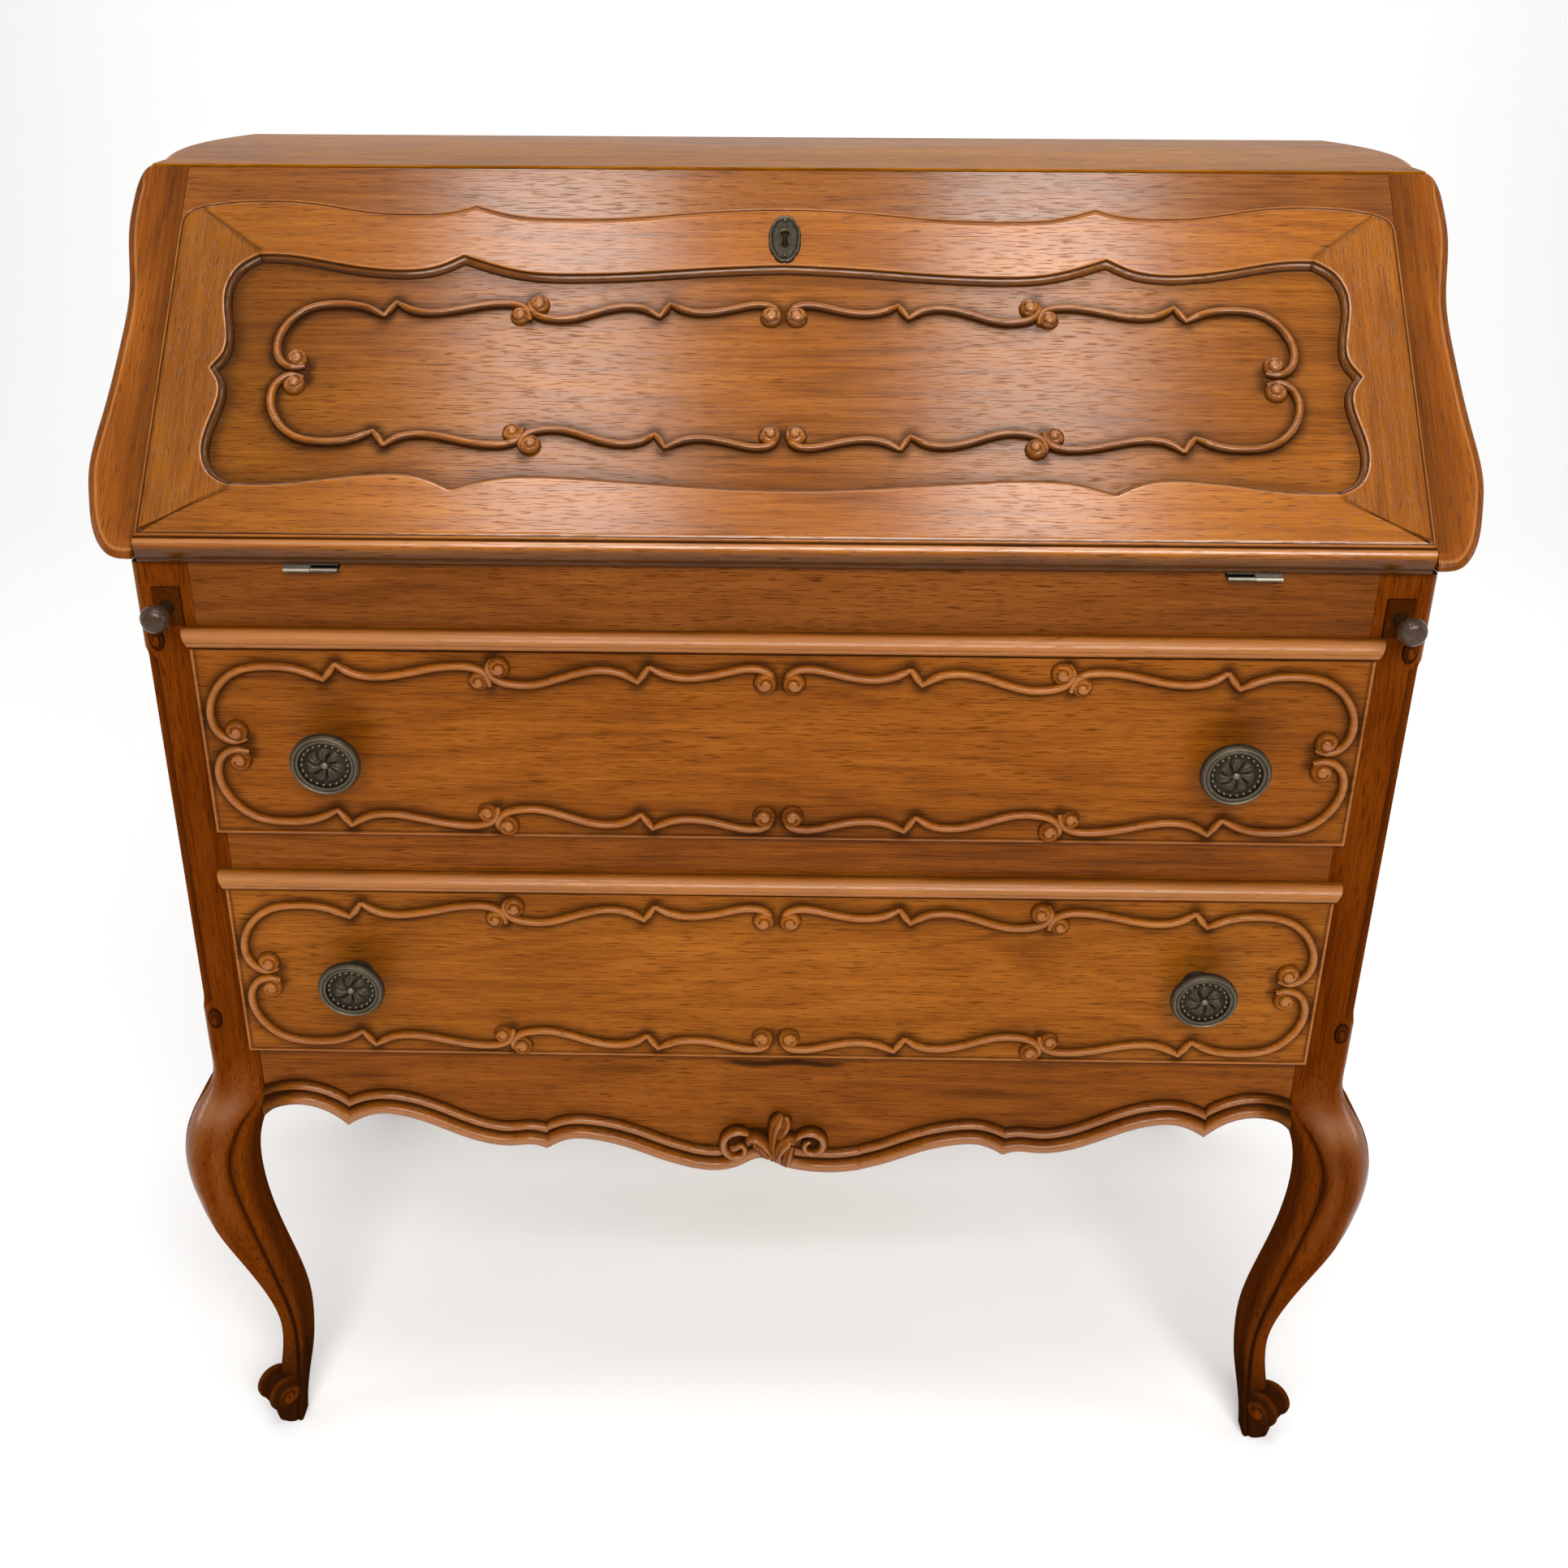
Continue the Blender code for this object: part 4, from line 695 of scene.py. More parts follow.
NOSE_SECTION = (            # t, n, tone: a painted highlight on the roll below the quirk, painted shade in the cove under it
    (1.0, -17.6, 0.3), (1.0, -0.6, 0.3), (0.2, -0.1, 0.0), (-0.3, -1.9, 1.0), (-1.2, -1.7, 1.0),
    (-2.6, -1.0, -0.6), (-4.4, -1.1, -0.9), (-6.4, -2.1, 0.0), (-8.2, -3.6, 0.6), (-9.6, -5.3, 0.75),
    (-10.7, -7.4, 0.8), (-11.2, -9.6, 0.85), (-11.4, -11.6, 0.95), (-11.9, -11.9, 1.0), (-12.8, -13.4, 0.9),
    (-13.0, -15.2, 0.9), (-12.2, -17.6, 0.9),
)


def box_runs(half, low, high):
    """A box's four sides, from the top round by the right."""
    corners = np.array([(-half, high), (half, high), (half, low), (-half, low)])
    return [np.stack(pair) for pair in zip(corners, np.roll(corners, -1, 0))]


def fall_loops():
    """The panel opening, outer edge, body and panel hole as four runs each, with points that keep step."""
    side = cusped(PANEL_SIDE_RUNS)
    low = mirrored(cusped(PANEL_BOTTOM_RUNS))[::-1]
    opening = [mirrored(cusped(PANEL_TOP_RUNS)), side, low, side[::-1] * (-1, 1)]
    body = box_runs(FALL_HALF, 0.0, BODY_TOP)
    right = np.concatenate([curve(FALL_CORNER, CORNER_STEP), [(FALL_HALF, 0.0)]])
    outer = [mirrored(cusped(FALL_TOP_RUNS)), right, body[2], right[::-1] * (-1, 1)]
    hole = box_runs(HOLE_HALF, HOLE_LOW, HOLE_HIGH)
    loops = {"opening": opening, "outer": outer, "body": body, "hole": hole}
    counts = [len(run) for run in opening]
    return {key: [resampled(run, n) for run, n in zip(runs, counts)] for key, runs in loops.items()}


def fall_members():
    """The four members: one section loop carried round the opening, split at the mitres."""
    loops = fall_loops()
    whole, outline = (np.concatenate([run[:-1] for run in loops[key]]) for key in ("opening", "outer"))
    away, inward = mitres(whole, closed=True), -mitres(outline, closed=True)
    starts = np.cumsum([0] + [len(run) - 1 for run in loops["opening"]])
    members = []
    for k in range(4):
        index = np.arange(starts[k], starts[k + 1] + 1) % len(whole)
        opening, outer = whole[index], outline[index]
        columns = [(opening + away[index] * d, n, tone) for d, n, tone in STICKING]
        columns += [(outer + inward[index] * d, n, tone) for d, n, tone in FALL_EDGE]
        columns += [(loops[key][k], n, tone) for key, n, tone in FALL_BODY]
        paths, heights, tones = zip(*columns)
        across = np.stack(paths, 1)
        along = lengths(opening)
        pinch = np.minimum(along, along[-1] - along)
        centre = across[len(index) // 2].mean(0)
        if k % 2:
            at_mitre = (pinch < 0.01)[:, None]
            across[..., 1] += (np.sign(centre[1] - across[..., 1]) * MITRE_GAP) * at_mitre
        tone = np.broadcast_to(tones, across.shape[:2]).copy()
        arris = tone[:, len(STICKING):]
        rubbed = bell(outer[:, :1], FALL_ARRIS_REACH, 4) if k == 0 else np.zeros((len(outer), 1))
        arris *= np.where(arris < 0, FALL_ARRIS_SHARE + (1 - FALL_ARRIS_SHARE) * rubbed, 1)
        tone += MITRE_GRIME * bell(pinch, MITRE_REACH)[:, None]
        tone += LID_SHADE * fade(-across[..., 0], *LID_SHADED)
        members.append(tube(on_slope(across[..., 0], across[..., 1], np.array(heights)[None]), clipped(tone)))
    return members


class DESK_OT_fall(bpy.types.Operator):
    """Mitred fall with its moulding, sunk carved panel and nosing"""
    bl_idname = "desk.fall"
    bl_label = "Fall"

    def execute(self, context):
        members = fall_members()
        nose = bar(NOSE_SECTION, -NOSE_HALF, NOSE_HALF, on_slope)
        for word, k, finish, node in FALL_MEMBERS:
            parts = [members[k], nose] if word == "bottom" else [members[k]]
            piece(f"fall_{word}_member", parts, finish, "fall", node)

        def on_panel(x, v, up):
            return on_slope(x, LID_CENTRE + v, PANEL_N + up)

        opening = np.concatenate(fall_loops()["opening"])
        heights = (HOLE_LOW + PANEL_PLAY, HOLE_HIGH - PANEL_PLAY)
        parts = carved_ground(HOLE_HALF - PANEL_PLAY, heights, (FALL_BACK, PANEL_N), LID_CENTRE,
                              LID_CARTOUCHE, on_slope, PANEL_EDGE, LID_SHADE_PATCHES, opening)
        parts += cartouche(LID_CARTOUCHE, on_panel, context.scene.desk_carving, LID_BEAD_SHADE)
        piece("fall_carved_panel", parts, "fall_ground", "fall", "fall_panel")
        return {"FINISHED"}


# Long drawers

DRAWER_HALF = 424.2
DRAWER_FACES = {"upper_drawer": (587.5, 736.1), "lower_drawer": (390.2, 538.7)}
DRAWER_OPENINGS = {"upper_drawer": (590.5, 749.0), "lower_drawer": (393.5, 551.5)}
DRAWER_PLAY = 1.2
DRAWER_CORE_HALF = 416.5
DRAWER_CORE_OUT = (-14.0, 3.0)
DRAWER_CORE_EASE = 1.0
FACE_FOOT, FACE_OUT = 0.3, 8.3
KNOB_X = 327.4
KNOB_DARK_PATCH = (7.0, 12.0, 27.0)      # a darker patch by a knob: to its right, above the middle, radius
# A rounded strip along the sides and foot of a front, lighter as wear and painted highlight, inside it a
# quirk painted dark as shade: distance in, drop, tone
DRAWER_EDGE = (
    (0.0, 2.8, 0.6), (0.4, 1.2, 0.1), (1.0, 0.35, -0.5), (2.0, 0.1, -0.5), (2.8, 0.15, 0.1),
    (3.4, 0.5, 0.6), (4.1, 0.5, 0.6), (4.9, 0.1, 0.25), (6.5, 0.0, 0.05), (11.0, 0.0, 0.0),
)
LIP_HALF = 428.0
LIP_RETURN = 5.5            # how much shorter the foot of a lip is at each end
LIP_OVERLAP = 0.2
LIP_SECTION = (             # height, out, tone: a painted highlight along the nose, painted shade in the quirks above and below
    (-0.2, 0.3, 0.8), (0.4, 8.0, 0.9), (1.6, 8.6, 1.0), (2.3, 8.9, 1.0), (2.8, 11.0, 0.7), (3.4, 12.0, -0.1),
    (5.2, 12.7, -0.6), (6.9, 12.7, -0.2), (7.3, 13.4, -0.5), (9.6, 13.3, -0.55), (12.2, 12.0, -0.85),
    (14.0, 10.0, -0.7), (15.1, 7.4, -0.35), (15.5, 4.5, 0.3), (15.5, 0.3, 0.8),
)


def drawer_lip(foot):
    """The moulding along a front's top, its section carried along x, its ends drawn in towards the foot."""
    up, out, tone = np.array(LIP_SECTION).T
    end = LIP_HALF - LIP_RETURN * (1 - up / up.max())
    return tube(on_front(np.stack([-end, end]), foot + up[None], out[None]), tone)


class DESK_OT_drawers(bpy.types.Operator):
    """Carved lipped fronts of the two long drawers"""
    bl_idname = "desk.drawers"
    bl_label = "Long drawer fronts"

    def execute(self, context):
        right_of, above, radius = KNOB_DARK_PATCH
        core_x = (-DRAWER_CORE_HALF, DRAWER_CORE_HALF)
        for name, (low, high) in DRAWER_FACES.items():
            middle = (low + high) / 2

            def on_face(x, v, up, middle=middle):
                return on_front(x, middle + v, FACE_OUT + up)

            dark_patches = [(side * KNOB_X + right_of, middle + above, radius) for side, _ in SIDES]
            parts = carved_ground(DRAWER_HALF, (low, high), (FACE_FOOT, FACE_OUT), middle,
                                  CARTOUCHE_HALF, on_front, DRAWER_EDGE, dark_patches)
            parts += cartouche(CARTOUCHE_HALF, on_face, context.scene.desk_carving)
            parts.append(drawer_lip(high - LIP_OVERLAP))
            opening = DRAWER_OPENINGS[name]
            core_z = (opening[0] + DRAWER_PLAY, opening[1] - DRAWER_PLAY)
            parts.append(slab(core_x, core_z, DRAWER_CORE_OUT, on_front, DRAWER_CORE_EASE))
            piece(f"{name}_carved_front", parts, name, name, f"{name}_front")
        return {"FINISHED"}


# Slope stiles, top board and the fixed rail above the fall

STILE_INNER = 453.5
STILE_FACE_N = -4.0
STILE_BACK = 40.0           # level depth of a slope stile
STILE_INNER_TONE, LEDGE_TONE = 0.5, 0.3
STILE_CONTOUR = (           # x, z
    (453.5, 804), (470, 806), (483, 818), (491, 839), (494, 853), (491, 885), (486, 930), (485.5, 958),
    (490, 981), (493.5, 1000), (493.3, 1020), (490.5, 1033.5), (484, 1040.5), (477, 1042),
)
# Rounded edge that meets the face in an arris, lighter as wear and painted highlight, the rounding painted
# darker as shade: set-in, level depth behind the face, tone
STILE_EDGE = (
    (0.0, STILE_BACK, 0.7), (0.0, 9.0, 0.7), (0.3, 6.0, 0.5), (1.2, 3.4, 0.3), (2.8, 1.6, 0.3),
    (4.6, 0.6, 0.35), (6.0, 0.15, 0.2), (6.5, 0.0, -0.6), (7.3, 0.0, -0.6), (8.6, 0.0, 0.0), (12.0, 0.0, 0.0),
)
EDGE_ENDS = (1028.0, 1041.0)            # over these heights the rounding shrinks by the share below
EDGE_SHRINKS = 0.85
LEDGE_X, LEDGE_Z, LEDGE_DEPTH = (434.0, 474.0), (806.0, 1041.5), (20.8, 39.8)     # what the fall shuts on


def behind_slope(x, z, depth):
    """Points at a level depth behind the slope stiles' face."""
    face = (QUIRK_Y - FRONT_Y) / MM + z - QUIRK_Z / MM - STILE_FACE_N * sqrt(2)
    return on_front(x, z, -(face + depth))


def slope_stile(side):
    """The edge section carried up the waved contour, ruled across to the straight inner edge, and a ledge."""
    contour = np.concatenate([curve(STILE_CONTOUR), [(STILE_INNER, STILE_CONTOUR[-1][1])]])
    set_in, depth, tone = np.array(STILE_EDGE).T
    shrink = 1 - EDGE_SHRINKS * fade(contour[:, 1:], *EDGE_ENDS)
    path = contour[:, None] + (mitres(contour) * shrink)[:, None] * set_in[None, :, None]
    path[..., 0] = np.maximum(path[..., 0], STILE_INNER)
    inner = np.stack([np.full(len(path), STILE_INNER), path[:, -1, 1]], 1)[:, None]
    across = np.concatenate([path, inner, inner], 1)
    depth = np.concatenate([depth, [0.0, STILE_BACK]])
    tone = np.concatenate([tone, [STILE_INNER_TONE, STILE_INNER_TONE]])
    stile = tube(behind_slope(side * across[..., 0], across[..., 1], depth[None]), tone)
    x = side * np.array(LEDGE_X)[[0, 1, 1, 0]]
    z = np.array(LEDGE_Z)[[0, 0, 1, 1]]
    ledge = tube(behind_slope(x[None], z[None], np.array(LEDGE_DEPTH)[:, None]), LEDGE_TONE)
    return [stile, ledge]


# Right end of the top: x, and distance behind the front stiles
TOP_PLAN = ((492.5, 261.3), (506.5, 330), (508.5, 375), (501, 430), (486, 475.5))
TOP_STEP = 4.0
TOP_EDGE = (                # height, set-in, tone: underside and quirk painted darker as shade, the rounds lighter as wear and painted highlight
    (1021.0, 3.0, 0.4), (1021.8, 1.2, 0.3), (1024.0, 0.0, 0.0), (1030.0, 0.0, -0.2), (1032.6, 0.6, -0.3),
    (1034.8, 1.8, -0.4), (1036.5, 3.2, -0.4), (1037.6, 4.6, 0.4), (1038.4, 4.8, 0.9), (1039.6, 6.2, -0.2),
    (1040.8, 8.4, -0.4), (1041.6, 10.6, -0.3), (1042.0, 13.0, 0.0),
)
BACK_SHARE = 0.3            # the back edge draws in by this share of the ends' set-in
# The top's front skin lies over the fixed rail and the heads of the stiles
SKIN_HALF, SKIN_Z, SKIN_OUT, SKIN_EASE = 481.0, (1040.1, 1042.15), (-262.0, -219.0), 0.6
# The fixed rail's sections (t, n): face, core, and a back that leaves the bolt's mortise open
RAIL_FACE = ((264.0, -18.0), (264.0, -5.2), (264.9, -4.3), (314.6, -4.3), (328.3, -18.0))
RAIL_CORE = ((264.0, -24.8), (264.0, -17.5), (327.8, -17.5), (335.1, -24.8))
RAIL_BACK = ((264.0, -31.8), (264.0, -24.8), (335.1, -24.8), (342.1, -31.8))
RAIL_OVER_BOLT = ((275.0, -31.8), (275.0, -24.8), (335.1, -24.8), (342.1, -31.8))
RAIL_HALF, RAIL_END, MORTISE_HALF = 433.7, 453.2, 9.5
RAIL_BARS = (
    (RAIL_FACE, -RAIL_END, RAIL_END), (RAIL_CORE, -RAIL_HALF, RAIL_HALF),
    (RAIL_BACK, -RAIL_HALF, -MORTISE_HALF),
    (RAIL_OVER_BOLT, -MORTISE_HALF, MORTISE_HALF), (RAIL_BACK, MORTISE_HALF, RAIL_HALF),
)


def moulded_top():
    """The edge section drawn in from the plan's bowed ends, level by level, and the front skin."""
    plan_x, plan_y = curve(TOP_PLAN, TOP_STEP).T
    z, set_in, tone = np.array(TOP_EDGE).T[..., None]
    x = plan_x - set_in
    y = np.repeat(plan_y[None], len(z), 0)
    y[:, -1:] -= BACK_SHARE * set_in
    rings = on_front(np.concatenate([x, -x[:, ::-1]], 1), z, -np.concatenate([y, y[:, ::-1]], 1))
    return [tube(rings, tone), slab((-SKIN_HALF, SKIN_HALF), SKIN_Z, SKIN_OUT, on_front, SKIN_EASE)]


class DESK_OT_slope_case(bpy.types.Operator):
    """Waved stiles beside the fall, the top board with moulded bowed ends, and the fixed rail"""
    bl_idname = "desk.slope_case"
    bl_label = "Slope stiles and top"

    def execute(self, context):
        for side, word in SIDES:
            piece(f"waved_stile_{word}", slope_stile(side), "slope_stile", "carcass", f"slope_stile_{word}")
        piece("moulded_top", moulded_top(), "top", "carcass", "top_board")
        rail = [bar(section, low, high, on_slope) for section, low, high in RAIL_BARS]
        piece("fixed_rail", rail, "fixed_rail", "carcass", "top_rail")
        return {"FINISHED"}


# Legs: stile, cabriole and scroll toe in one

# Height, outer x, inner x, front y, back y, rounding of the outer corner
LEG_STATIONS = np.array((
    (0, 443.5, 420.5, -20.5, 0, 0.35), (14, 445.5, 419.5, -21, 2, 0.35), (35, 442, 417, -15, 8, 0.40),
    (65, 437, 412, -7.5, 15, 0.45), (95, 436.5, 410, -4.5, 20, 0.45), (125, 443.5, 410.5, -6.5, 21, 0.45),
    (165, 458.5, 417.5, -13, 20, 0.45), (205, 474.5, 427.5, -21, 20, 0.45), (250, 486, 436, -27, 24, 0.45),
    (290, 489.5, 435.5, -28, 34, 0.45), (315, 485.5, 426, -23.5, 40, 0.42),
    (335, 475.5, 420.5, -15, 44, 0.36), (350, 465.5, 419, -7, 45, 0.28),
    (362, 461, 419, -2.5, 45, 0.22), (376, 460, 419, -0.6, 45, 0.17), (400, 460, 419, 0, 45, 0.14), (798.5, 460, 419, 0, 45, 0.14),
))
# Height, inner front edge, groove, y of that edge
EDGE_STATIONS = np.array((
    (0, 420.5, 424.5, -20), (35, 417.3, 422, -15), (65, 415.2, 421, -7.5), (95, 413.8, 421.7, -4.5),
    (147, 416, 428.5, -10), (202, 424, 437, -17), (253, 432, 446, -20), (298, 431, 447, -16),
    (318, 426, 439.5, -11), (330, 421, 431.5, -7), (341, 419, 422, -3), (352, 419, 420.5, -0.5),
    (385, 419, 420.5, 0), (798.5, 419, 420.5, 0),
))
STILE_FOOT = 385.0          # above this a leg is a straight stile
STILE_TOP = 798.5
GROOVE_FADES = (322.0, 346.0)
CROWN_FADES = (345.0, 385.0)
GROOVE_DEEP, GROOVE_WIDE = 2.3, 1.5
BEAD_LEAST = 1.5            # the bead between edge and groove is at least this wide
BEAD_FALL = 2.5             # power by which its outer half falls to the groove
CROWN = 0.055               # bulge of the front face as a share of its width
WRAP = 0.6                  # rounding of the bead onto the inner side, as a share of the bead
BACK_EASING = 0.10
BEAD_POINTS, FACE_POINTS, CORNER_POINTS = 10, 15, 9     # along the bead, face and outer corner of a section
SIDE_POINTS, OUTER_POINTS = 3, 2                        # on the inner side, and on the outer side and back
FLUTE_RADIUS, FLUTE_ENDS, FLUTE_RUNS_OUT = 9.0, (424.0, 734.0), 9.0
FLUTE_CLEAR = 0.5           # the face stops this far short of the flute
SLOT_X, SLOT_Z = (426.7, 447.3), (751.7, 780.7)         # the loper's slot
FAR = 1000.0
REAR_DEPTH, REAR_Y, REAR_ROUNDING = 40.0, 470.0, 0.2
REAR_STEP = 5.0
# the sides, groove and flute are painted dark as shade, the crown and rounded corner lighter as highlight
# Tones: sides, bead on its crest, by its edge and towards the groove, groove, crown, flute, rounded corner
SIDE_TONE, OUTER_TONE, BACK_TONE = 0.35, 0.1, 0.3
BEAD_TONE, BEAD_EDGE_TONE, BEAD_FALL_TONE, BEAD_TURNS = 0.28, 0.45, 0.95, 0.4
DITCH_TONE, CROWN_TONE, FLUTE_TONE, CORNER_TONE = 0.95, 0.04, 0.55, 0.2
FOOT_DARKENING = ((0.75, 20.0, 95.0), (0.32, 70.0, 260.0))  # darker towards the feet: tone, full below, gone above
KNEE_Z, KNEE_REACH, KNEE_HIGHLIGHT = 334.0, 13.0, 0.34     # a painted highlight on the knee here, where the wood is glossier too


def stations(table, z):
    """Each column of a table read along z by natural spline, constant above the foot of the stile."""
    read = natural_spline(table[:, 0], table[:, 1:], z)
    read[z >= STILE_FOOT] = table[-1, 1:]
    return read.T[..., None]


def leg_rings(z, rear=False):
    """Level sections of a right leg as (x, y) and tone, from the inner back corner round by bead and face.

    Front face: y runs from the inner edge to the front of the station, less a crown c sin(pi v); the bead is
    a quarter ellipse falling to a groove; the outer corner is an arc that turns into a hollow flute.
    """
    outer, inner, front, back, rounding = stations(LEG_STATIONS, z)
    edge, groove, edge_y = stations(EDGE_STATIONS, z)
    level = z[:, None]
    deep = GROOVE_DEEP * (1 - fade(level, *GROOVE_FADES))
    if rear:
        back = np.minimum(back - front, REAR_DEPTH)
        front = edge_y = deep = np.zeros_like(front)
        edge, rounding = inner, np.full_like(front, REAR_ROUNDING)
    groove = np.maximum(groove, edge + BEAD_LEAST)
    thick = np.minimum(outer - inner, back - front)
    r, ease = rounding * thick, BACK_EASING * thick
    u = np.linspace(0, 1, BEAD_POINTS)[None]
    bead_x = edge + u * (groove - edge)
    wrap = WRAP * (groove - edge) * np.sqrt(deep / GROOVE_DEEP)
    turn = 1 - np.minimum(u / 0.5, 1)
    fall = np.clip((u - 0.5) / 0.5, 0, 1) ** BEAD_FALL
    bead_y = wrap * (1 - np.sqrt(1 - turn ** 2)) + deep * fall
    v = np.linspace(0, 1, FACE_POINTS + 1)[None, 1:]
    face_x = groove + v * (outer - r - groove)
    ditch = deep * bell(face_x - groove, GROOVE_WIDE)
    crown = CROWN * (outer - groove) * np.sin(pi * v) * (1 - fade(level, *CROWN_FADES))
    along = np.clip((np.concatenate([bead_x, face_x], 1) - edge) / (outer - r - edge), 0, 1)
    base = edge_y + (front - edge_y) * np.sin(along * pi / 2)
    front_y = base + np.concatenate([bead_y, ditch - crown], 1)
    cos, sin = arc(90, 0, CORNER_POINTS + 1)[1:].T[:, None]
    hollow = fade(level, FLUTE_ENDS[0], FLUTE_ENDS[0] + FLUTE_RUNS_OUT)
    hollow = hollow * (1 - fade(level, FLUTE_ENDS[1] - FLUTE_RUNS_OUT, FLUTE_ENDS[1])) * (not rear)
    arc_x = (1 - hollow) * (outer - r + r * cos) + hollow * (outer - FLUTE_RADIUS * sin)
    arc_y = (1 - hollow) * (front + r - r * sin) + hollow * (front + FLUTE_RADIUS * cos)
    clear = np.minimum(face_x, outer - FLUTE_RADIUS * hollow - FLUTE_CLEAR)
    face_x = np.where(hollow > 0, clear, face_x)
    mid_x = (inner + edge) / 2
    x = np.concatenate([inner + ease, inner, mid_x, bead_x, face_x, arc_x, outer, outer - ease], 1)
    mid_y = (back - ease + edge_y + wrap) / 2
    y = np.concatenate([back, back - ease, mid_y, front_y, arc_y, back - ease, back], 1)
    ones = np.ones_like(outer)
    bead_tone = BEAD_TONE + BEAD_EDGE_TONE * (turn - BEAD_TURNS) + BEAD_FALL_TONE * fall
    face_tone = DITCH_TONE * ditch / GROOVE_DEEP - CROWN_TONE * crown
    flute_tone = (hollow * FLUTE_TONE - CORNER_TONE * (1 - hollow)) * 2 * sin * cos
    sides = np.repeat(SIDE_TONE * ones, SIDE_POINTS, 1)
    tone = np.concatenate([sides, bead_tone * deep / GROOVE_DEEP, face_tone, flute_tone, OUTER_TONE * ones,
                           BACK_TONE * ones], 1)
    feet = sum(grime * (1 - fade(level, *heights)) for grime, *heights in FOOT_DARKENING)
    # the knee's painted highlight lies across the face and the outer corner
    knee = KNEE_HIGHLIGHT * bell(level - KNEE_Z, KNEE_REACH) * (not rear)
    not_lightened, outer_not_lightened = (np.zeros((1, count)) for count in (SIDE_POINTS + BEAD_POINTS, OUTER_POINTS))
    lightened = np.concatenate([not_lightened, np.sin(pi / 2 * v) ** 2, sin ** 2, outer_not_lightened], 1)
    return x, y, clipped(tone + feet - knee * lightened)


# Heights of the sections: cabriole, neck, end of the flute, flute, its other end
LEG_HEIGHTS = np.concatenate([
    np.arange(0, STILE_FOOT, 3.5), np.arange(STILE_FOOT, 424, 6), np.arange(424, 434, 1.5),
    np.linspace(440, 718, 8), np.arange(724, 735, 1.5), SLOT_Z[:1],
])
REAR_HEIGHTS = np.concatenate([np.arange(0, STILE_FOOT, REAR_STEP), [STILE_FOOT, STILE_TOP]])


def front_leg(side):
    """The leg up to the loper's slot, the stile's head above it, and a post on each side of the slot."""
    parts = []
    slot = np.array(SLOT_Z)
    stages = ((LEG_HEIGHTS, 0.0, FAR), (np.array([SLOT_Z[1], STILE_TOP]), 0.0, FAR), (slot, 0.0, SLOT_X[0]),
              (slot, SLOT_X[1], FAR))
    for z, low, high in stages:
        x, y, tone = leg_rings(z)
        parts.append(tube(on_front(side * np.clip(x, low, high), z[:, None], -y), tone))
    return parts


# Scroll toe: a drum across the leg's diagonal, its axis level, from the outer back to the inner front

TOE_CENTRE = np.array([439.0, -12.0, 32.0])
TOE_AXIS = np.array([-1.0, -1.0, 0.0]) * HALF_ROOT
TOE_SIDE = np.array([-1.0, 1.0, 0.0]) * HALF_ROOT
TOE_UP = np.array([0.0, 0.0, 1.0])
TOE_DRUM = (                # place on the axis, radius, tone: grooves and ends painted darker as shade, flange crests lighter as highlight
    (-15.0, 11.5, 0.9), (-14.2, 14.0, 0.6), (-12.0, 16.2, 0.2), (-9.5, 16.5, -0.2), (-6.5, 15.2, 0.5),
    (0.0, 14.9, 0.4), (6.5, 15.2, 0.5), (9.5, 16.5, -0.2), (12.0, 16.2, 0.1), (14.0, 14.6, 0.5),
    (14.6, 12.4, 0.9),
)
TOE_STEPS = 40
TOE_EYE, TOE_EYE_AT, TOE_EYE_RISE = 12.6, 13.4, 0.42    # radius, place on the axis, flattening
VOLUTES = ((450.0, 416.0), (449.0, 741.0))
VOLUTE_SIZE = (0.74, 1.25, 0.6)         # narrowed across, stretched upright, flattened
VOLUTE_RADIUS = 7.6
CARVED_DARKENING = 0.6          # darkening on toes and volutes


def scroll_toe(side):
    """A turned drum with a spiral eye on its inner front end."""
    def place(x, up, along):
        x, up, along = (np.asarray(value)[..., None] for value in (x, up, along))
        x, y, z = np.moveaxis(TOE_CENTRE + TOE_AXIS * along + TOE_SIDE * x + TOE_UP * up, -1, 0)
        return on_front(side * x, z, -y)

    along, radius, tone = np.array(TOE_DRUM).T[..., None]
    cos, sin = ring(TOE_STEPS).T[:, None]
    drum = tube(place(radius * cos, radius * sin, along), tone)
    eye = button(TOE_EYE, lambda x, up, out: place(x, up, TOE_EYE_AT + TOE_EYE_RISE * out))
    return [darkened(part, CARVED_DARKENING) for part in (drum, eye)]


def stile_volute(side, centre):
    """A small upright scroll where the flute ends."""
    def place(*offset):
        x, z, out = (value * size for value, size in zip(offset, VOLUTE_SIZE))
        return on_front(side * (centre[0] + x), centre[1] + z, out)

    return darkened(button(VOLUTE_RADIUS, place), CARVED_DARKENING)


class DESK_OT_legs(bpy.types.Operator):
    """Front legs with beaded cabrioles, flutes and scroll toes, and plain rear legs"""
    bl_idname = "desk.legs"
    bl_label = "Legs"

    def execute(self, context):
        for side, word in SIDES:
            parts = front_leg(side) + scroll_toe(side)
            parts += [stile_volute(side, centre) for centre in VOLUTES]
            piece(f"cabriole_{word}", parts, "leg", "carcass", f"front_leg_{word}")
            x, y, tone = leg_rings(REAR_HEIGHTS, rear=True)
            rear = tube(on_front(side * x, REAR_HEIGHTS[:, None], y - REAR_Y), tone)
            piece(f"rear_leg_{word}", [rear], "leg", "carcass", f"back_leg_{word}")
        return {"FINISHED"}


# Apron with a moulded cusped edge, a leaf and two scrolls

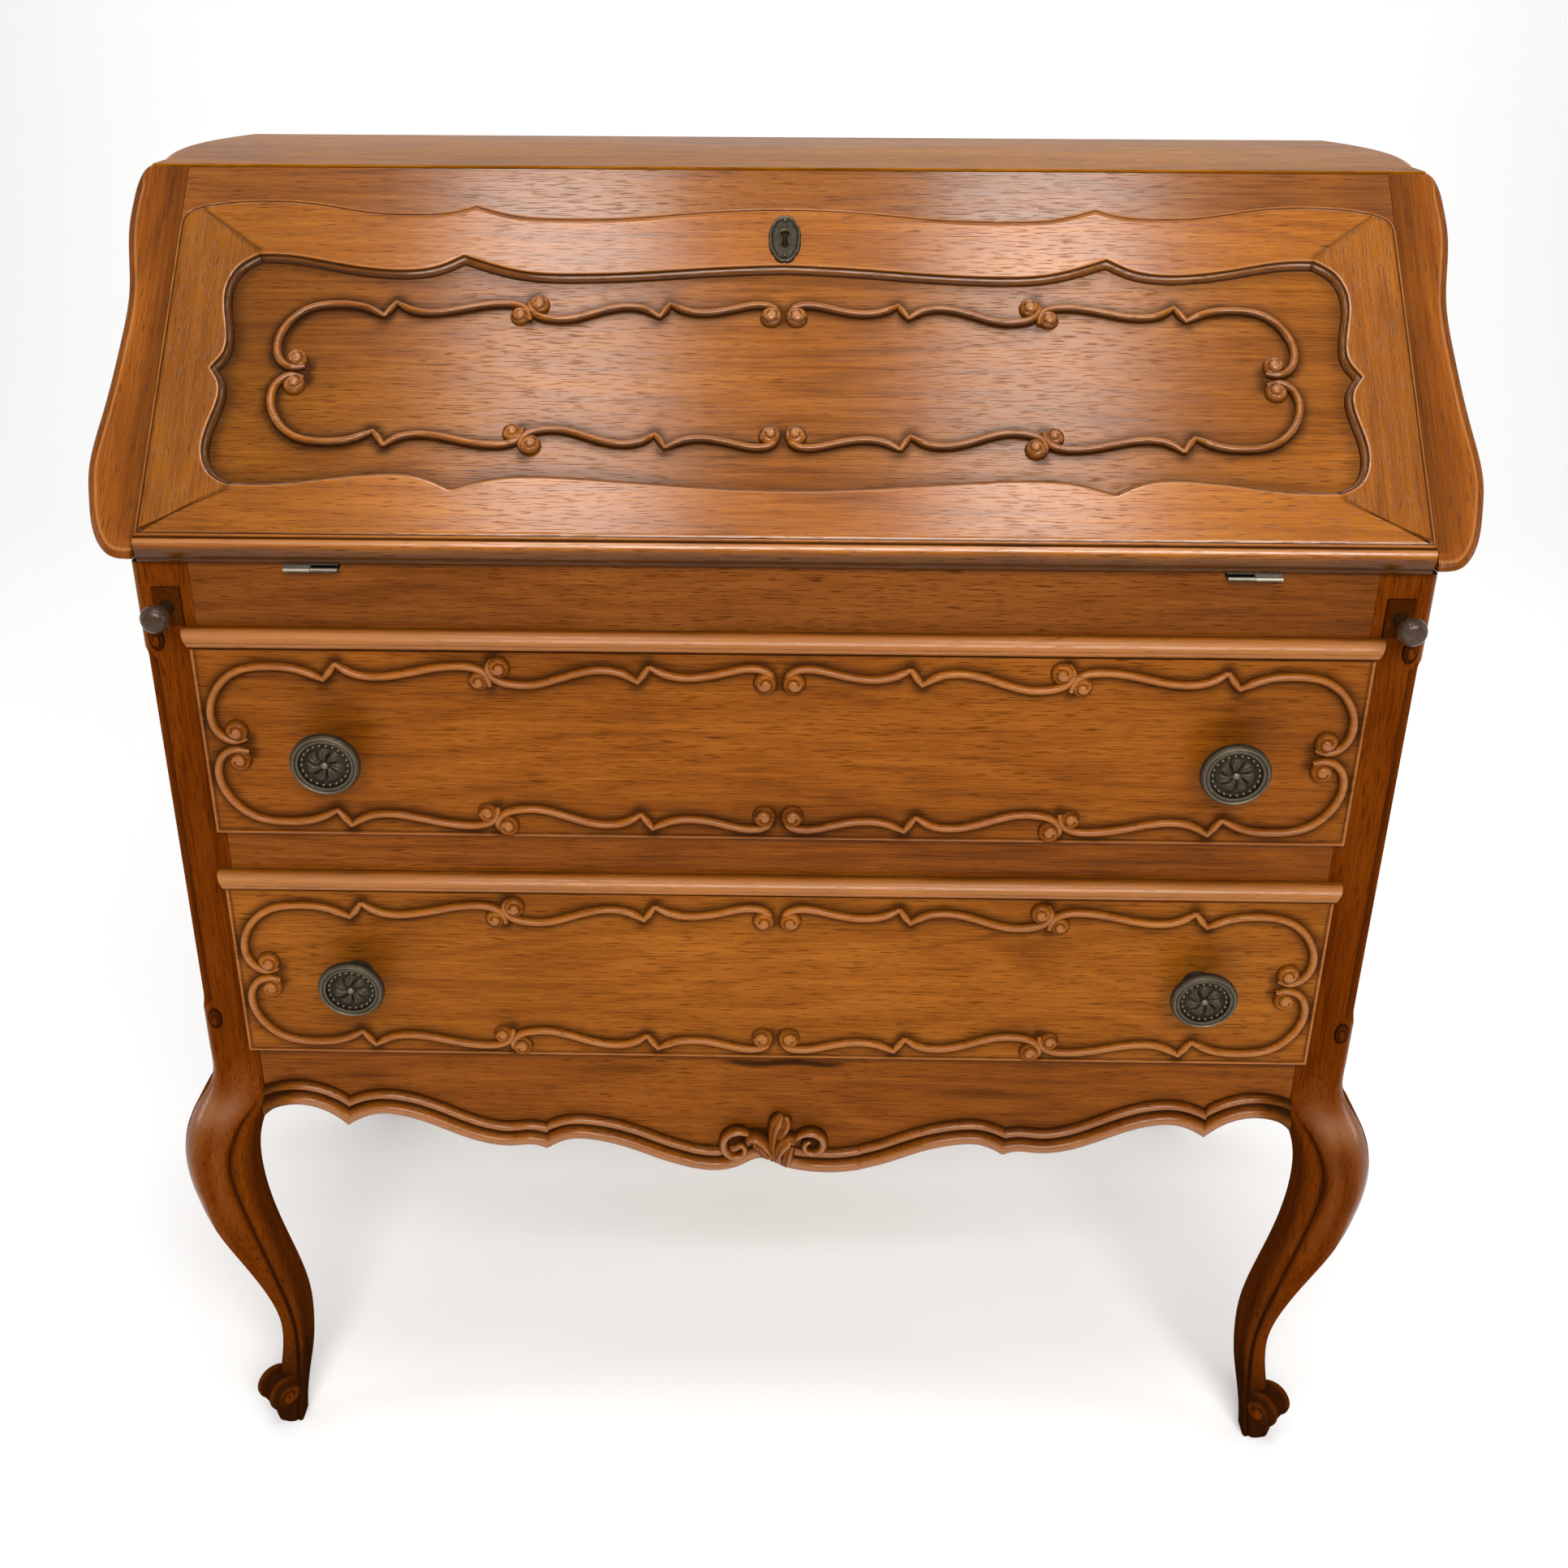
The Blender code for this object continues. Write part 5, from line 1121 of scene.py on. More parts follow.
APRON_CENTRE = (            # x, z
    (-70, 278.5), (-52, 277.4), (-36, 280.6), (-22, 286.2), (-12, 289.6), (-3, 287), (7, 281.6), (17, 278.8),
    (32, 278.4), (52, 277.2), (70, 278.5),
)
APRON_RUNS = (
    ((70, 278.5), (90, 284.5), (120, 297), (152, 305.3), (168, 305.3), (180, 300.5), (188, 295.5)),
    ((188, 295.5), (198, 299), (214, 298), (235, 299.5), (258, 307), (285, 319.5), (308, 327), (325, 328),
     (341, 322.5), (351, 316)),
    ((351, 316), (360, 324.5), (372, 332), (388, 336.2), (402, 335), (412, 331), (419.5, 324.5)),
)
APRON_TOP, APRON_HALF, APRON_BACK, APRON_FACE = 393.5, 418.7, -22.0, -1.0
# Two rolls above the edge, crests lighter as wear and painted highlight, groove and feet painted dark as
# shade: distance from it, how far out, tone
APRON_SECTION = (
    (0.0, APRON_BACK, 0.5), (0.0, 2.5, 0.5), (0.25, 5.0, 0.0), (1.3, 7.2, -0.15), (3.2, 8.8, -0.4),
    (5.4, 9.4, -0.6), (7.6, 9.0, -0.45), (9.4, 7.6, -0.1), (10.8, 5.2, 0.4), (11.6, 2.4, 1.0),
    (12.8, 1.6, 1.0), (13.3, 2.8, 0.9), (14.2, 4.5, -0.1), (15.8, 5.1, -0.45), (17.5, 4.6, -0.35),
    (19.0, 3.0, 0.0), (20.2, 0.8, 0.8), (20.8, -0.6, 1.0), (21.4, -3.0, 1.0), (21.4, APRON_BACK, 1.0),
)
CUT_EASE = 0.05             # points nearer than this to a cusp's plane are dropped
APRON_SAG, SAG_HALF = 3.4, 60.0         # the carved middle hangs lower
CARVED_HALF, CARVED_SINKS = 26.0, 0.55  # near the middle the moulding sinks under the leaf, by this share
APRON_DARKENS = (382.0, 414.0)          # towards the legs, from and to these distances from the middle
BOARD_START = 8.0           # the flat board begins this far above the edge, behind the moulding
BOARD_COLS, BOARD_ROWS = 281, 61
BOARD_END_TONE = 0.5
CREASE_SHADE = (0.55, 20.0, 5.0)          # painted shade in the crease above the moulding: tone, height above the edge, reach
LEAF_SHADE = (0.4, 0.0, 312.0, 46.0, 20.0)          # painted shade round the leaf: tone, x, z, reach across and up
# painted shade along the top, under the drawer
TOP_SHADE, TOP_DARKENS = 0.5, (380.0, 386.0)
KNOT_TONE = 0.55
KNOTS = ((-120.0, 372.0, 34.0, 5.0), (-330.0, 362.0, 30.0, 4.0), (170.0, 352.0, 40.0, 6.0))    # x, z, reach
DARK_LINE_TONE, DARK_LINE = 1.5, (8.0, 379.4, 47.0, 2.8)    # a dark wavering line under the drawer: middle x, z, half length, half height
DARK_LINE_WANDERS = 9.0         # its wavering, in millimetres to a radian


def apron_paths():
    """The lower edge from left to right as rows of points that meet in cusps, hung lower in the middle."""
    right = [np.array(run, float) for run in APRON_RUNS]
    left = [run[::-1] * (-1, 1) for run in right[::-1]]
    paths = [curve(run) for run in (*left, APRON_CENTRE, *right)]
    for path in paths:
        path[:, 1] -= APRON_SAG * bell(path[:, 0], SAG_HALF, 4)
    return paths


def cut_row(path, reach):
    """A path moved up by reach along its normals, cut off above its own ends and spaced evenly again."""
    row = path + mitres(path) * reach
    ends = path[[0, -1], 0]
    row = row[(row[:, 0] > ends[0] + CUT_EASE) & (row[:, 0] < ends[1] - CUT_EASE)]
    last, before = row[[0, -1]], row[[1, -2]]
    slopes = (before[:, 1] - last[:, 1]) / (before[:, 0] - last[:, 0])
    caps = np.stack([ends, last[:, 1] + slopes * (ends - last[:, 0])], 1)
    return resampled(np.concatenate([caps[:1], row, caps[1:]]), len(path))


def apron_moulding(paths):
    """The section carried along the edge and mitred at its cusps."""
    reach, out, tone = np.array(APRON_SECTION).T
    grids = [np.stack([cut_row(path, r) for r in reach], 1) for path in paths]
    x, z = np.moveaxis(np.concatenate(grids[:1] + [grid[1:] for grid in grids[1:]]), -1, 0)
    out = np.where(out > 0, out * (1 - CARVED_SINKS * bell(x, CARVED_HALF, 4)), out)
    return tube(on_front(x, z, out), clipped(tone + fade(np.abs(x), *APRON_DARKENS)))


def apron_board(path):
    """A flat board from behind the moulding up to the top, with painted shade, knots and a dark line."""
    x = np.linspace(-APRON_HALF, APRON_HALF, BOARD_COLS)[:, None]
    edge = np.interp(x, *path.T)
    low = edge + BOARD_START
    z = low + np.linspace(0, 1, BOARD_ROWS)[None] * (APRON_TOP - low)
    grime, above, reach = CREASE_SHADE
    tone = grime * bell(z - edge - above, reach) + TOP_SHADE * fade(z, *TOP_DARKENS)
    for grime, spot_x, spot_z, wide, high in (LEAF_SHADE, *((KNOT_TONE, *knot) for knot in KNOTS)):
        tone = tone + grime * bell(x - spot_x, wide) * bell(z - spot_z, high)
    line_x, line_z, wide, high = DARK_LINE
    across = z - line_z - np.sin(x / DARK_LINE_WANDERS)
    tone = tone + DARK_LINE_TONE * bell(x - line_x, wide, 6) * bell(across, high)
    ends = np.ones_like(low)
    z = np.concatenate([low, z, APRON_TOP * ends], 1)
    out = np.array([APRON_BACK] + [APRON_FACE] * BOARD_ROWS + [APRON_BACK])
    tone = np.concatenate([BOARD_END_TONE * ends, tone, BOARD_END_TONE * ends], 1)
    return tube(on_front(x, z, out[None]), clipped(tone))


# Carved strands of the leaf and scrolls: (x, z, half width) along each
SCROLLS = (
    ((-21, 315.5, 2.6), (-27, 319, 3.2), (-35, 319, 3.6), (-42, 313, 3.6), (-44, 304, 3.6), (-41, 295, 3.6),
     (-34, 290.5, 3.4), (-27, 293, 3.0), (-25.5, 299.5, 2.7), (-29, 303.5, 2.4), (-33, 301.5, 1.8)),
    ((18, 311.5, 2.6), (24, 317.5, 3.2), (32, 319.3, 3.6), (39.5, 315, 3.6), (42, 307, 3.6), (39, 299, 3.4),
     (32, 296, 3.2), (26.5, 299.5, 2.8), (26.5, 305.5, 2.5), (31, 308, 1.8)),
)
LEAVES = (
    ((-1.2, 286, 2.0), (-1.8, 300, 3.0), (-1.4, 314, 4.0), (0.0, 325, 5.2), (2.5, 333, 5.4), (5.5, 339, 2.8)),
    ((1.0, 306, 2.0), (5.0, 316, 3.6), (8.6, 325, 4.6), (10.2, 332, 4.0), (9.2, 337, 2.0)),
    ((-3.0, 291, 2.6), (-8.0, 301, 4.6), (-12.5, 309, 6.4), (-18.5, 312.5, 6.0), (-22.5, 307, 3.4)),
    ((-5.0, 289, 2.0), (-10.5, 296, 3.4), (-14.5, 303, 3.8), (-18.0, 304, 2.0)),
    ((1.5, 287, 2.8), (4.5, 298, 4.6), (8.5, 308, 6.0), (14.0, 312, 5.2), (17.5, 307, 3.0)),
    ((9.0, 281.5, 3.2), (11.5, 290, 4.6), (12.5, 298, 4.4), (15.5, 303, 2.2)),
)
# Height of the ground under a strand, its lift over its half width, depth of its vein
SCROLL_RELIEF, LEAF_RELIEF = (2.2, 1.9, 0.0), (3.0, 1.6, 0.28)
LEAF_FOOT = np.array([0.0, 284.0])
LEAF_SPREAD = np.array([0.96, 0.88])
FULLER = 1.12               # the strands are carved this much fuller than they were measured
STRAND_STEP, STRAND_ARC = 1.2, (-20, 200, 19)
VEIN_AT, VEIN_HALF = 0.15, 0.22
# a strand is painted dark on its sides and in its vein as shade, lighter on its crest as highlight
STRAND_TONE, CREST_TONE, VEIN_TONE = 1.0, 1.55, 2.4
# Floors inside the scrolls and behind the leaf, painted dark as shade: centre, radii; and their section from
# the middle out
HOLLOWS = (((-34.5, 302.5), (9.0, 12.0)), ((33.0, 305.0), (9.0, 9.5)), ((-2.0, 301.0), (19.0, 16.0)))
HOLLOW_OUT = (2.4, 2.4, 2.2, 1.8, -2.0)
HOLLOW_TONE, HOLLOW_STEPS = 0.95, 24


def strand(run, ground, lift, rib):
    """A rounded strand of changing width: a half ellipse along the run, with a hollow vein down its crest."""
    run = curve(run, STRAND_STEP)
    path = LEAF_FOOT + LEAF_SPREAD * (run[:, :2] - LEAF_FOOT)
    half = run[:, 2:] * FULLER
    across, up = arc(*STRAND_ARC).T[:, None]
    grid = path[:, None] + mitres(path)[:, None] * (half * across)[..., None]
    vein = rib * bell(across - VEIN_AT, VEIN_HALF)
    tone = clipped(STRAND_TONE - CREST_TONE * np.maximum(up, 0) ** 2 + VEIN_TONE * vein)
    return tube(on_front(grid[..., 0], grid[..., 1], ground + half * lift * (up - vein)), tone)


def scroll_hollow(centre, radii):
    """A floor inside a scroll, painted dark as shade."""
    share = np.linspace(0, 1, len(HOLLOW_OUT))[:, None]
    cos, sin = ring(HOLLOW_STEPS).T[:, None]
    x, z = (c + share * radius * way for c, radius, way in zip(centre, radii, (cos, sin)))
    return surface(on_front(x, z, np.array(HOLLOW_OUT)[:, None]), close_cols=True, tone=HOLLOW_TONE)


class DESK_OT_apron(bpy.types.Operator):
    """Apron with its moulded cusped edge, carved leaf and scrolls"""
    bl_idname = "desk.apron"
    bl_label = "Apron"

    def execute(self, context):
        paths = apron_paths()
        parts = [apron_moulding(paths), apron_board(np.concatenate(paths))]
        parts += [strand(run, *SCROLL_RELIEF) for run in SCROLLS]
        parts += [strand(run, *LEAF_RELIEF) for run in LEAVES]
        parts += [scroll_hollow(*hollow) for hollow in HOLLOWS]
        piece("carved_apron", parts, "apron", "carcass", "apron")
        return {"FINISHED"}


# Cast knobs, keyhole plate, loper knobs and hinges

KNOB_DROP = {"upper_drawer": -3.0, "lower_drawer": 3.0}
KNOB_PROFILE = (            # radius, out: stem, collar and rim, then the rim's face
    (0.1, 8.6), (11, 8.6), (11.4, 9.2), (11, 10.2), (8.6, 11), (6.5, 12.2), (5.8, 15), (6, 19), (7.4, 21.4),
    (9.5, 22.4), (10, 23.8), (9.5, 25), (8.2, 26.4), (11, 27.2), (16, 28.2), (21, 29.8), (24.4, 31.6),
    (25.5, 33), (25.5, 35.6), (25.0, 36.6), (24.6, 36.7), (24.3, 37.2),
    (23.6, 38.6), (22.8, 38.9), (22.0, 38.5), (21.6, 37.9), (21.2, 38.2), (20.2, 38.4), (19.2, 38.0),
    (18.6, 36.9),
)
RIM_TONE = ((0, 5, 16, 19, 22, 24, 25, 26, 28, 29), (0.5, 0.6, 0.3, 0.1, -0.40, -0.30, 0.7, -0.15, -0.2, 0.7))
KNOB_OVAL = 0.93            # a knob is slightly lower than it is wide
KNOB_DISH = 36.0
KNOB_STEPS, FACE_ROWS, FACE_RADII = 176, 46, (18.4, 0.15)
PEARLS, PEARL_RING, PEARL_RADIUS = 22, 16.9, 1.35
PETALS, PETAL_START, PETAL_LENGTH, PETAL_TWIST, PETAL_LIFT = 7, 2.6, 12.0, 0.9, 2.1
VEIN_DEEP, VEIN_NARROW = 0.55, 0.06
BOSS_RADIUS, BOSS_RISE = 3.3, 0.85
CHASED = 0.25               # height of the fine chasing
KNOB_TONE, FLOWER_TONE, PEARL_TONE, BOSS_TONE = 0.75, 0.42, 1.15, 0.55


def knob_face(r, a):
    """Lift and tone of the rosette: a ring of pearls, petals |cos(n a / 2)|^0.8 sin(pi s)^0.7, and a boss."""
    step = 2 * pi / PEARLS
    off = (a + step / 2) % step - step / 2
    pearl = np.sqrt(np.maximum(PEARL_RADIUS ** 2 - (r - PEARL_RING) ** 2 - (off * PEARL_RING) ** 2, 0))
    s = np.clip((r - PETAL_START) / PETAL_LENGTH, 0, 1)
    wave = np.cos(PETALS * a / 2 + PETAL_TWIST * s)
    lobe = np.abs(wave) ** 0.8 * np.sin(pi * s) ** 0.7
    vein = VEIN_DEEP * bell(wave ** 2 - 1, VEIN_NARROW) * np.sin(pi * s)
    chased = CHASED * np.sin(9 * a + 2.2 * r) * np.sin(5 * a - 1.3 * r) * (s > 0) * (s < 1)
    boss = BOSS_RISE * np.sqrt(np.maximum(BOSS_RADIUS ** 2 - r ** 2, 0))
    flower = PETAL_LIFT * lobe - vein + chased
    tone = clipped(KNOB_TONE - FLOWER_TONE * flower - PEARL_TONE * pearl - BOSS_TONE * boss)
    return pearl + flower + boss, tone


def knob(centre):
    """Stem, collar and rim turned, then the chased face, as one closed body."""
    radius, out = np.array(KNOB_PROFILE).T[..., None]
    rim_tone = np.interp(np.arange(len(radius)), *RIM_TONE)[:, None]
    a = np.linspace(0, 2 * pi, KNOB_STEPS + 1)[None, :-1]
    face_r = np.linspace(*FACE_RADII, FACE_ROWS)[:, None]
    lift, face_tone = knob_face(face_r, a)
    r = np.concatenate([radius, face_r])
    out, tone = (np.concatenate([np.repeat(low, KNOB_STEPS, 1), high])
                 for low, high in ((out, KNOB_DISH + lift), (rim_tone, face_tone)))
    return tube(on_front(centre[0] + r * np.cos(a), centre[1] + KNOB_OVAL * r * np.sin(a), out), tone)


PLATE_HALF = (12.2, 21.2)
PLATE_STEPS, LOBES, NOTCH, NOTCH_HALF = 96, 8, 0.055, 0.12
PLATE_ROWS = (              # share of the way from the keyhole to the rim, height, tone; the keyhole's walls are painted dark as shade
    (0.0, 0.3, 1.0), (0.0, 1.2, 1.0), (0.08, 1.9, 0.0), (0.20, 1.9, 0.5), (0.45, 2.0, 0.25), (0.66, 1.8, 0.4),
    (0.74, 1.5, 0.9), (0.80, 1.9, 0.1), (0.90, 2.2, -0.4), (0.97, 1.7, 0.3), (1.0, 0.9, 0.8), (1.0, 0.1, 1.0),
)
KEYHOLE = (                 # half of its outline, from the top down
    (0.0, 6.8), (2.2, 6.0), (3.1, 3.8), (2.5, 1.8), (1.5, 0.4), (1.5, -2.6), (2.3, -4.6), (2.2, -6.4),
    (1.2, -7.5), (0.0, -7.8),
)
KEYHOLE_STEP = 0.4
FLOOR_SPREAD, FLOOR_N = (1.5, 1.2), (0.05, 0.25)        # the floor behind the keyhole, painted black as shade
NAIL_T, NAIL_RADIUS, NAIL_N, NAIL_RISE = 15.6, 1.7, 1.7, 0.8


def keyhole(count):
    """The keyhole's closed outline as evenly spaced points, from the top round by +X."""
    half = curve(KEYHOLE, KEYHOLE_STEP)
    outline = np.concatenate([half, half[-2::-1] * (-1, 1)])
    return resampled(outline, count + 1)[:-1]


def escutcheon():
    """Oval plate with a lobed rim ruled in to a real keyhole, a nail above and below, and a floor behind
    painted black as shade.
    """
    turn = np.linspace(0, 1, PLATE_STEPS + 1)[:-1]
    notch = 1 - NOTCH * bell(np.abs((turn * LOBES) % 1 - 0.5) - 0.5, NOTCH_HALF)
    edge = notch[:, None] * PLATE_HALF * np.stack([np.sin(2 * pi * turn), np.cos(2 * pi * turn)], 1)
    hole = keyhole(PLATE_STEPS)
    share, up, tone = np.array(PLATE_ROWS).T[..., None]
    x, t = np.moveaxis(hole + (edge - hole) * share[..., None], -1, 0)
    plate = surface(on_slope(x, LOCK_T + t, up), close_cols=True, close_rows=True, tone=tone)
    x, t = (hole * FLOOR_SPREAD).T[:, None]
    parts = [plate, tube(on_slope(x, LOCK_T + t, np.array(FLOOR_N)[:, None]), 1.0)]
    for middle in (LOCK_T - NAIL_T, LOCK_T + NAIL_T):
        def place(x, y, up, middle=middle):
            return on_slope(x, middle + y, NAIL_N + NAIL_RISE * up)
        parts.append(button(NAIL_RADIUS, place))
    return parts


LOPER_X, LOPER_Z = 437.0, 766.4
LOPER_KNOB = (              # radius, out
    (0.1, 2.3), (5, 2.3), (5.2, 3.4), (4.6, 5), (4.4, 16), (5.2, 19.4), (7, 21), (9.2, 23.6), (10, 26),
    (10.2, 28.4), (9.9, 30.8), (9.2, 32.4), (8.4, 33.8), (7.0, 35.2), (4.2, 36.2), (0.1, 36.5),
)
# the stem and neck are painted dark as shade under the knob's head
LOPER_TONE = ((0, 4, 9, 12, 15), (0.9, 0.8, 0.2, 0.0, 0.0))
LOPER_STEPS = 48


def loper_knob(side):
    """The profile turned about a level axis."""
    radius, out = np.array(LOPER_KNOB).T[..., None]
    tone = np.interp(np.arange(len(LOPER_KNOB)), *LOPER_TONE)[:, None]
    cos, sin = ring(LOPER_STEPS).T[:, None]
    return tube(on_front(side * LOPER_X + radius * cos, LOPER_Z + radius * sin, out), tone)


HINGE_X, HINGE_HALF = 330.0, 19.0
HINGE_GAP = 0.15            # half the gap between the two leaves' knuckles
KNUCKLE, KNUCKLE_STEPS = 1.5, 24
LEAF_ALONG, TAB_ALONG = (4.5, 26.0), (1.0, 6.0)         # a leaf, and its tab that joins the knuckle
LEAF_EASE, TAB_EASE = 0.15, 0.1
FALL_LEAF, RAIL_LEAF = (-2.3, -0.5), (-0.7, 0.7)        # levels of the leaves about the hinge line
SCREW_SPACING, SCREW_ALONG, SCREW_RADIUS, SCREW_RISE = 12.0, 15.0, 2.4, 0.25


def on_fall(x, along, up):
    """Places from the hinge line along the fall."""
    return on_slope(x, HINGE_T + along, HINGE_N + up)


def on_rail(x, along, up):
    """Places from the hinge line back along the hinge rail."""
    return on_front(x, HINGE[2] / MM + up, (FRONT_Y - HINGE[1]) / MM - along)


def hinge_leaf(middle, knuckle, place, level, proud):
    """A plate with three screws and its half of the barrel; proud says to which side the screws show."""
    parts = [slab((middle - HINGE_HALF, middle + HINGE_HALF), LEAF_ALONG, level, place, LEAF_EASE)]
    parts.append(slab(knuckle, TAB_ALONG, level, place, TAB_EASE))
    cos, sin = ring(KNUCKLE_STEPS).T
    # the barrel is painted lighter on its upper side and darker beneath, as highlight and shade
    parts.append(bar(np.stack([KNUCKLE * cos, KNUCKLE * sin, -sin], 1), *knuckle, place))
    for k in (-1, 0, 1):
        def head(x, y, up, k=k):
            return place(middle + k * SCREW_SPACING + x, SCREW_ALONG + y,
                         level[0 if proud < 0 else 1] + proud * SCREW_RISE * up)
        parts.append(button(SCREW_RADIUS, head))
    return parts


class DESK_OT_fittings(bpy.types.Operator):
    """Cast knobs, keyhole plate, loper knobs and hinges"""
    bl_idname = "desk.fittings"
    bl_label = "Fittings"

    def execute(self, context):
        for drawer, (low, high) in DRAWER_FACES.items():
            for side, word in SIDES:
                parts = [knob((side * KNOB_X, (low + high) / 2 + KNOB_DROP[drawer]))]
                piece(f"{drawer}_rosette_{word}", parts, "bronze", drawer, f"{drawer}_knob_{word}")
        piece("keyhole_plate", escutcheon(), "bronze", "fall", "escutcheon")
        for side, word in SIDES:
            parts = [loper_knob(side)]
            piece(f"loper_pull_{word}", parts, "loper_knob", f"loper_{word}", f"loper_knob_{word}")
        for side, word in SIDES:
            middle = side * HINGE_X
            inner, outer = (sorted((middle + way * HINGE_GAP, middle + way * HINGE_HALF))
                            for way in (-side, side))
            fall = hinge_leaf(middle, outer, on_fall, FALL_LEAF, -1)
            piece(f"butt_fall_leaf_{word}", fall, "brass", "fall", f"hinge_fall_leaf_{word}")
            rail = hinge_leaf(middle, inner, on_rail, RAIL_LEAF, 1)
            piece(f"butt_rail_leaf_{word}", rail, "brass", "carcass", f"hinge_rail_leaf_{word}")
        return {"FINISHED"}


# Nodes that keep their CAD shape, by finish

CAD_FINISHES = {
    "hinge_rail": ("hinge_rail",),
    "rail": ("middle_rail",),
    "side": ("lower_side_left", "lower_side_right", "upper_side_left", "upper_side_right"),
    "inside": ("interior_shelf", "small_drawer_left", "small_drawer_centre", "small_drawer_right"),
    "divider": ("drawer_divider_left", "drawer_divider_right", "pigeonhole_divider_left",
                "pigeonhole_divider_right"),
    "writing_floor": ("writing_floor",),
    "loper": ("loper_left", "loper_right"),
    "drawer": ("upper_drawer_side_left", "upper_drawer_side_right", "lower_drawer_side_left",
               "lower_drawer_side_right", "upper_drawer_bottom", "lower_drawer_bottom", "dust_board",
               "bottom_board", "loper_guide_left", "loper_guide_right"),
    "board": ("back_panel", "upper_drawer_back", "lower_drawer_back"),
    "steel": ("lock_case", "lock_bolt"),
    "brass": ("striking_plate",),
}


class DESK_OT_cad_finishes(bpy.types.Operator):
    """Finishes on the nodes that keep their CAD shape"""
    bl_idname = "desk.cad_finishes"
    bl_label = "Plain boards and inner fittings"

    def execute(self, context):
        for key, nodes in CAD_FINISHES.items():
            for name in nodes:
                mesh = frame["nodes"][name].data
                mesh.materials.clear()
                mesh.materials.append(finish_for(key))
        return {"FINISHED"}


# Stage, in metres

BACKDROP_REACH = 9.0        # the floor's extent sideways and forward
BACKDROP_START = 2.4        # where it starts to turn up behind the desk
BACKDROP_BEND, BEND_POINTS = 1.6, 13
BACKDROP_HIGH = 5.0
WINDOW_AIM_Z = 0.92         # the window lights look straight along the slope at this height
# Place, aim and size of the other lights; the side light is the right one
SIDE_LIGHT = ((2.4, -0.5, 1.1), (0.45, -0.2, 0.4), (0.5, 1.6))
KEY_LIGHT = ((0.4, -3.2, 2.9), (0.0, 0.0, 0.6), (2.8, 1.7))
BACKDROP_LIGHT = ((0.0, 1.6, 3.4), (0.0, 3.6, 0.6), (4.0, 1.2))
SENSOR = 36.0               # width of the camera's sensor, in millimetres


class DESK_OT_stage(bpy.types.Operator):
    """Pale floor, soft studio light and the camera at the photograph's angle"""
    bl_idname = "desk.stage"
    bl_label = "Stage"

    def execute(self, context):
        scene = context.scene
        look = scene.desk_stage
        scene.view_settings.view_transform = "Standard"
        self.floor(scene, look)
        self.world(scene, look)
        for side, _ in SIDES:
            y, z = look.window_yz
            place = (side * look.window_x + look.window_shift, y + FRONT_Y, z)
            aim = (place[0], 0.0, WINDOW_AIM_Z)
            self.lamp(scene, f"window_{side}", place, aim, look.window_size, look.window_power)
            place, aim = ((side * x, y, z) for x, y, z in SIDE_LIGHT[:2])
            self.lamp(scene, f"side_{side}", place, aim, SIDE_LIGHT[2], look.side_power)
        self.lamp(scene, "key", *KEY_LIGHT, look.key_power)
        self.lamp(scene, "backdrop", *BACKDROP_LIGHT, look.backdrop_power)
        self.camera(scene, look)
        return {"FINISHED"}

    def floor(self, scene, look):
        """A level floor that turns up through a quarter circle into a pale wall behind."""
        bend = arc(-90, 0, BEND_POINTS) * BACKDROP_BEND + (BACKDROP_START, BACKDROP_BEND)
        front, wall = (-BACKDROP_REACH, 0.0), (BACKDROP_START + BACKDROP_BEND, BACKDROP_HIGH)
        y, z = np.concatenate([[front], bend, [wall]]).T[:, None]
        x = np.array([-BACKDROP_REACH, BACKDROP_REACH])[:, None]
        points, quads, _ = surface(np.stack(np.broadcast_arrays(x, y, z), -1))
        mesh = bpy.data.meshes.new("floor")
        mesh.from_pydata(points.tolist(), [], quads.tolist())
        mesh.shade_smooth()
        pale = Finish("pale_floor")
        base = (*look.floor_colour, 1.0)
        pale.shade(Base_Color=base, Roughness=look.floor_roughness, Specular_IOR_Level=0.0)
        mesh.materials.append(pale.material)
        obj = bpy.data.objects.new("floor", mesh)
        scene.collection.objects.link(obj)

    def world(self, scene, look):
        scene.world = bpy.data.worlds.new("pale_room")
        scene.world.use_nodes = True
        sky = scene.world.node_tree.nodes["Background"]
        sky.inputs["Color"].default_value = (*look.room_colour, 1.0)
        sky.inputs["Strength"].default_value = look.room_power

    def lamp(self, scene, name, place, aim, size, power):
        data = bpy.data.lights.new(name, "AREA")
        data.shape = "RECTANGLE"
        data.size, data.size_y = size
        data.energy = power
        obj = bpy.data.objects.new(name, data)
        obj.location = place
        obj.rotation_euler = (Vector(aim) - Vector(place)).to_track_quat("-Z", "Y").to_euler()
        scene.collection.objects.link(obj)

    def camera(self, scene, look):
        data = bpy.data.cameras.new("camera")
        data.sensor_width = SENSOR
        data.lens = look.lens
        data.shift_x, data.shift_y = look.camera_shift
        obj = bpy.data.objects.new("camera", data)
        yaw, pitch, roll = (Matrix.Rotation(a, 4, axis) for a, axis in zip(look.camera_turn, "ZXY"))
        aim = yaw @ pitch @ roll @ Matrix.Rotation(pi / 2, 4, "X")
        obj.matrix_world = Matrix.Translation(Vector(look.camera_place) + Vector((0, FRONT_Y, 0))) @ aim
        scene.collection.objects.link(obj)
        scene.camera = obj


# Settings

def colour(name, words, default):
    return FloatVectorProperty(name=name, description=words, default=default, size=3, min=0, max=1,
                               subtype="COLOR")


def number(name, words, default, unit="NONE"):
    return FloatProperty(name=name, description=words, default=default, unit=unit)


def vector(name, words, default, subtype="NONE"):
    return FloatVectorProperty(name=name, description=words, default=default, size=len(default),
                               subtype=subtype)


